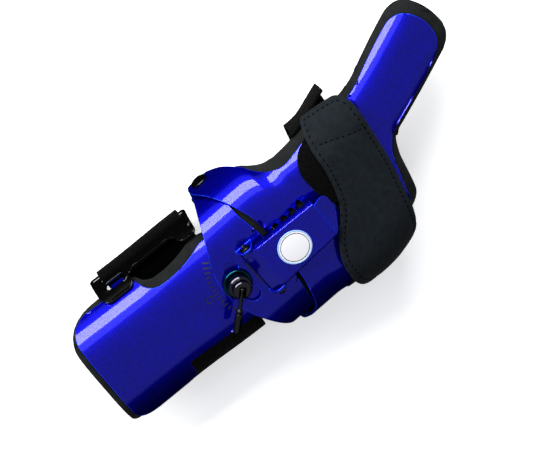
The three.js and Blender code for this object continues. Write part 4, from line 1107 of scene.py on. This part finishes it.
# Floor, light, camera
studio = {
    "floor": "fafafa", "lookAt": (15.8, 18.8, 36), "tilt": math.radians(25), "roll": math.radians(38),
    "distance": 1.4, "frameWidth": 0.3564, "sensor": 36, "world": 0.55, "floorGlow": 0.42,
    "horizon": [(0.0, "202024"), (0.04, "eef0f6")],  # sky colour against height
    "sides": [(0.12, "303030"), (0.16, "ffffff")],  # sky strength from the other side to the thumb side
    "lights": [("thumbPanel", 62, 1.3, (0.46, 1.6), 44), ("thumbGlow", 46, 1.5, (0.5, 1.6), 4)],
}
mesh = bmesh.new()
bmesh.ops.create_grid(mesh, x_segments=2, y_segments=2, size=3)
floorData = bpy.data.meshes.new("floor")
mesh.to_mesh(floorData)
mesh.free()
floor = bpy.data.objects.new("floor", floorData)
bpy.context.scene.collection.objects.link(floor)
paper, _, paperShader, _ = newMaterial("mattPaperFloor", {"Roughness": 0.9})
paperShader.inputs["Base Color"].default_value = linear(studio["floor"])
paperShader.inputs["Emission Color"].default_value = linear(studio["floor"])
paperShader.inputs["Emission Strength"].default_value = studio["floorGlow"]  # paper lit from below
floorData.materials.append(paper)
floor.visible_glossy = False  # the plates mirror the dark room below the horizon, not the paper

world = bpy.data.worlds.new("studio")
world.use_nodes = True
sky = world.node_tree
skyPlace = addNode(sky, "ShaderNodeTexCoord")
skyParts = addNode(sky, "ShaderNodeSeparateXYZ", None, {"Vector": skyPlace.outputs["Generated"]})
horizon, sides = ([(at, linear(tone)) for at, tone in studio[key]] for key in ("horizon", "sides"))
skyColour = ramp(sky, skyParts.outputs["Z"], horizon)
sky.links.new(skyColour, sky.nodes["Background"].inputs["Color"])
sideways = addNode(
    sky, "ShaderNodeMath", {"operation": "MULTIPLY_ADD", 1: 0.5, 2: 0.5}, {0: skyParts.outputs["Y"]}
)
darkSide = ramp(sky, sideways.outputs["Value"], sides)
strength = addNode(sky, "ShaderNodeMath", {"operation": "MULTIPLY", 1: studio["world"]}, {0: darkSide})
sky.links.new(strength.outputs["Value"], sky.nodes["Background"].inputs["Strength"])
bpy.context.scene.world = world

target = gloveOrigin + Vector(studio["lookAt"]) * millimetre


def softLight(name, degrees, distance, size, power):
    # degrees from straight up towards the thumb side
    light = bpy.data.lights.new(name, "AREA")
    light.shape = "RECTANGLE"
    light.size, light.size_y = size
    light.energy = power
    lamp = bpy.data.objects.new(name, light)
    angle = math.radians(degrees)
    lamp.location = target + Vector((0, math.sin(angle), math.cos(angle))) * distance
    lamp.rotation_mode = "QUATERNION"
    lamp.rotation_quaternion = (lamp.location - target).to_track_quat("Z", "X")
    bpy.context.scene.collection.objects.link(lamp)


for light in studio["lights"]:
    softLight(*light)

camera = bpy.data.objects.new("camera", bpy.data.cameras.new("camera"))
bpy.context.scene.collection.objects.link(camera)
back = Vector((0, math.sin(studio["tilt"]), math.cos(studio["tilt"])))
acrossTilt = Vector((0, math.cos(studio["tilt"]), -math.sin(studio["tilt"])))
c, s = math.cos(studio["roll"]), math.sin(studio["roll"])
right = Vector((c, 0, 0)) - acrossTilt * s
up = Vector((s, 0, 0)) + acrossTilt * c
turn = Matrix((right, up, back)).transposed().to_4x4()
camera.matrix_world = Matrix.Translation(target + back * studio["distance"]) @ turn
camera.data.sensor_width = studio["sensor"]
camera.data.lens = studio["sensor"] * studio["distance"] / studio["frameWidth"]
camera.data.clip_end = 10
bpy.context.scene.camera = camera
bpy.context.scene.view_settings.view_transform = "Standard"

print("scene ready")
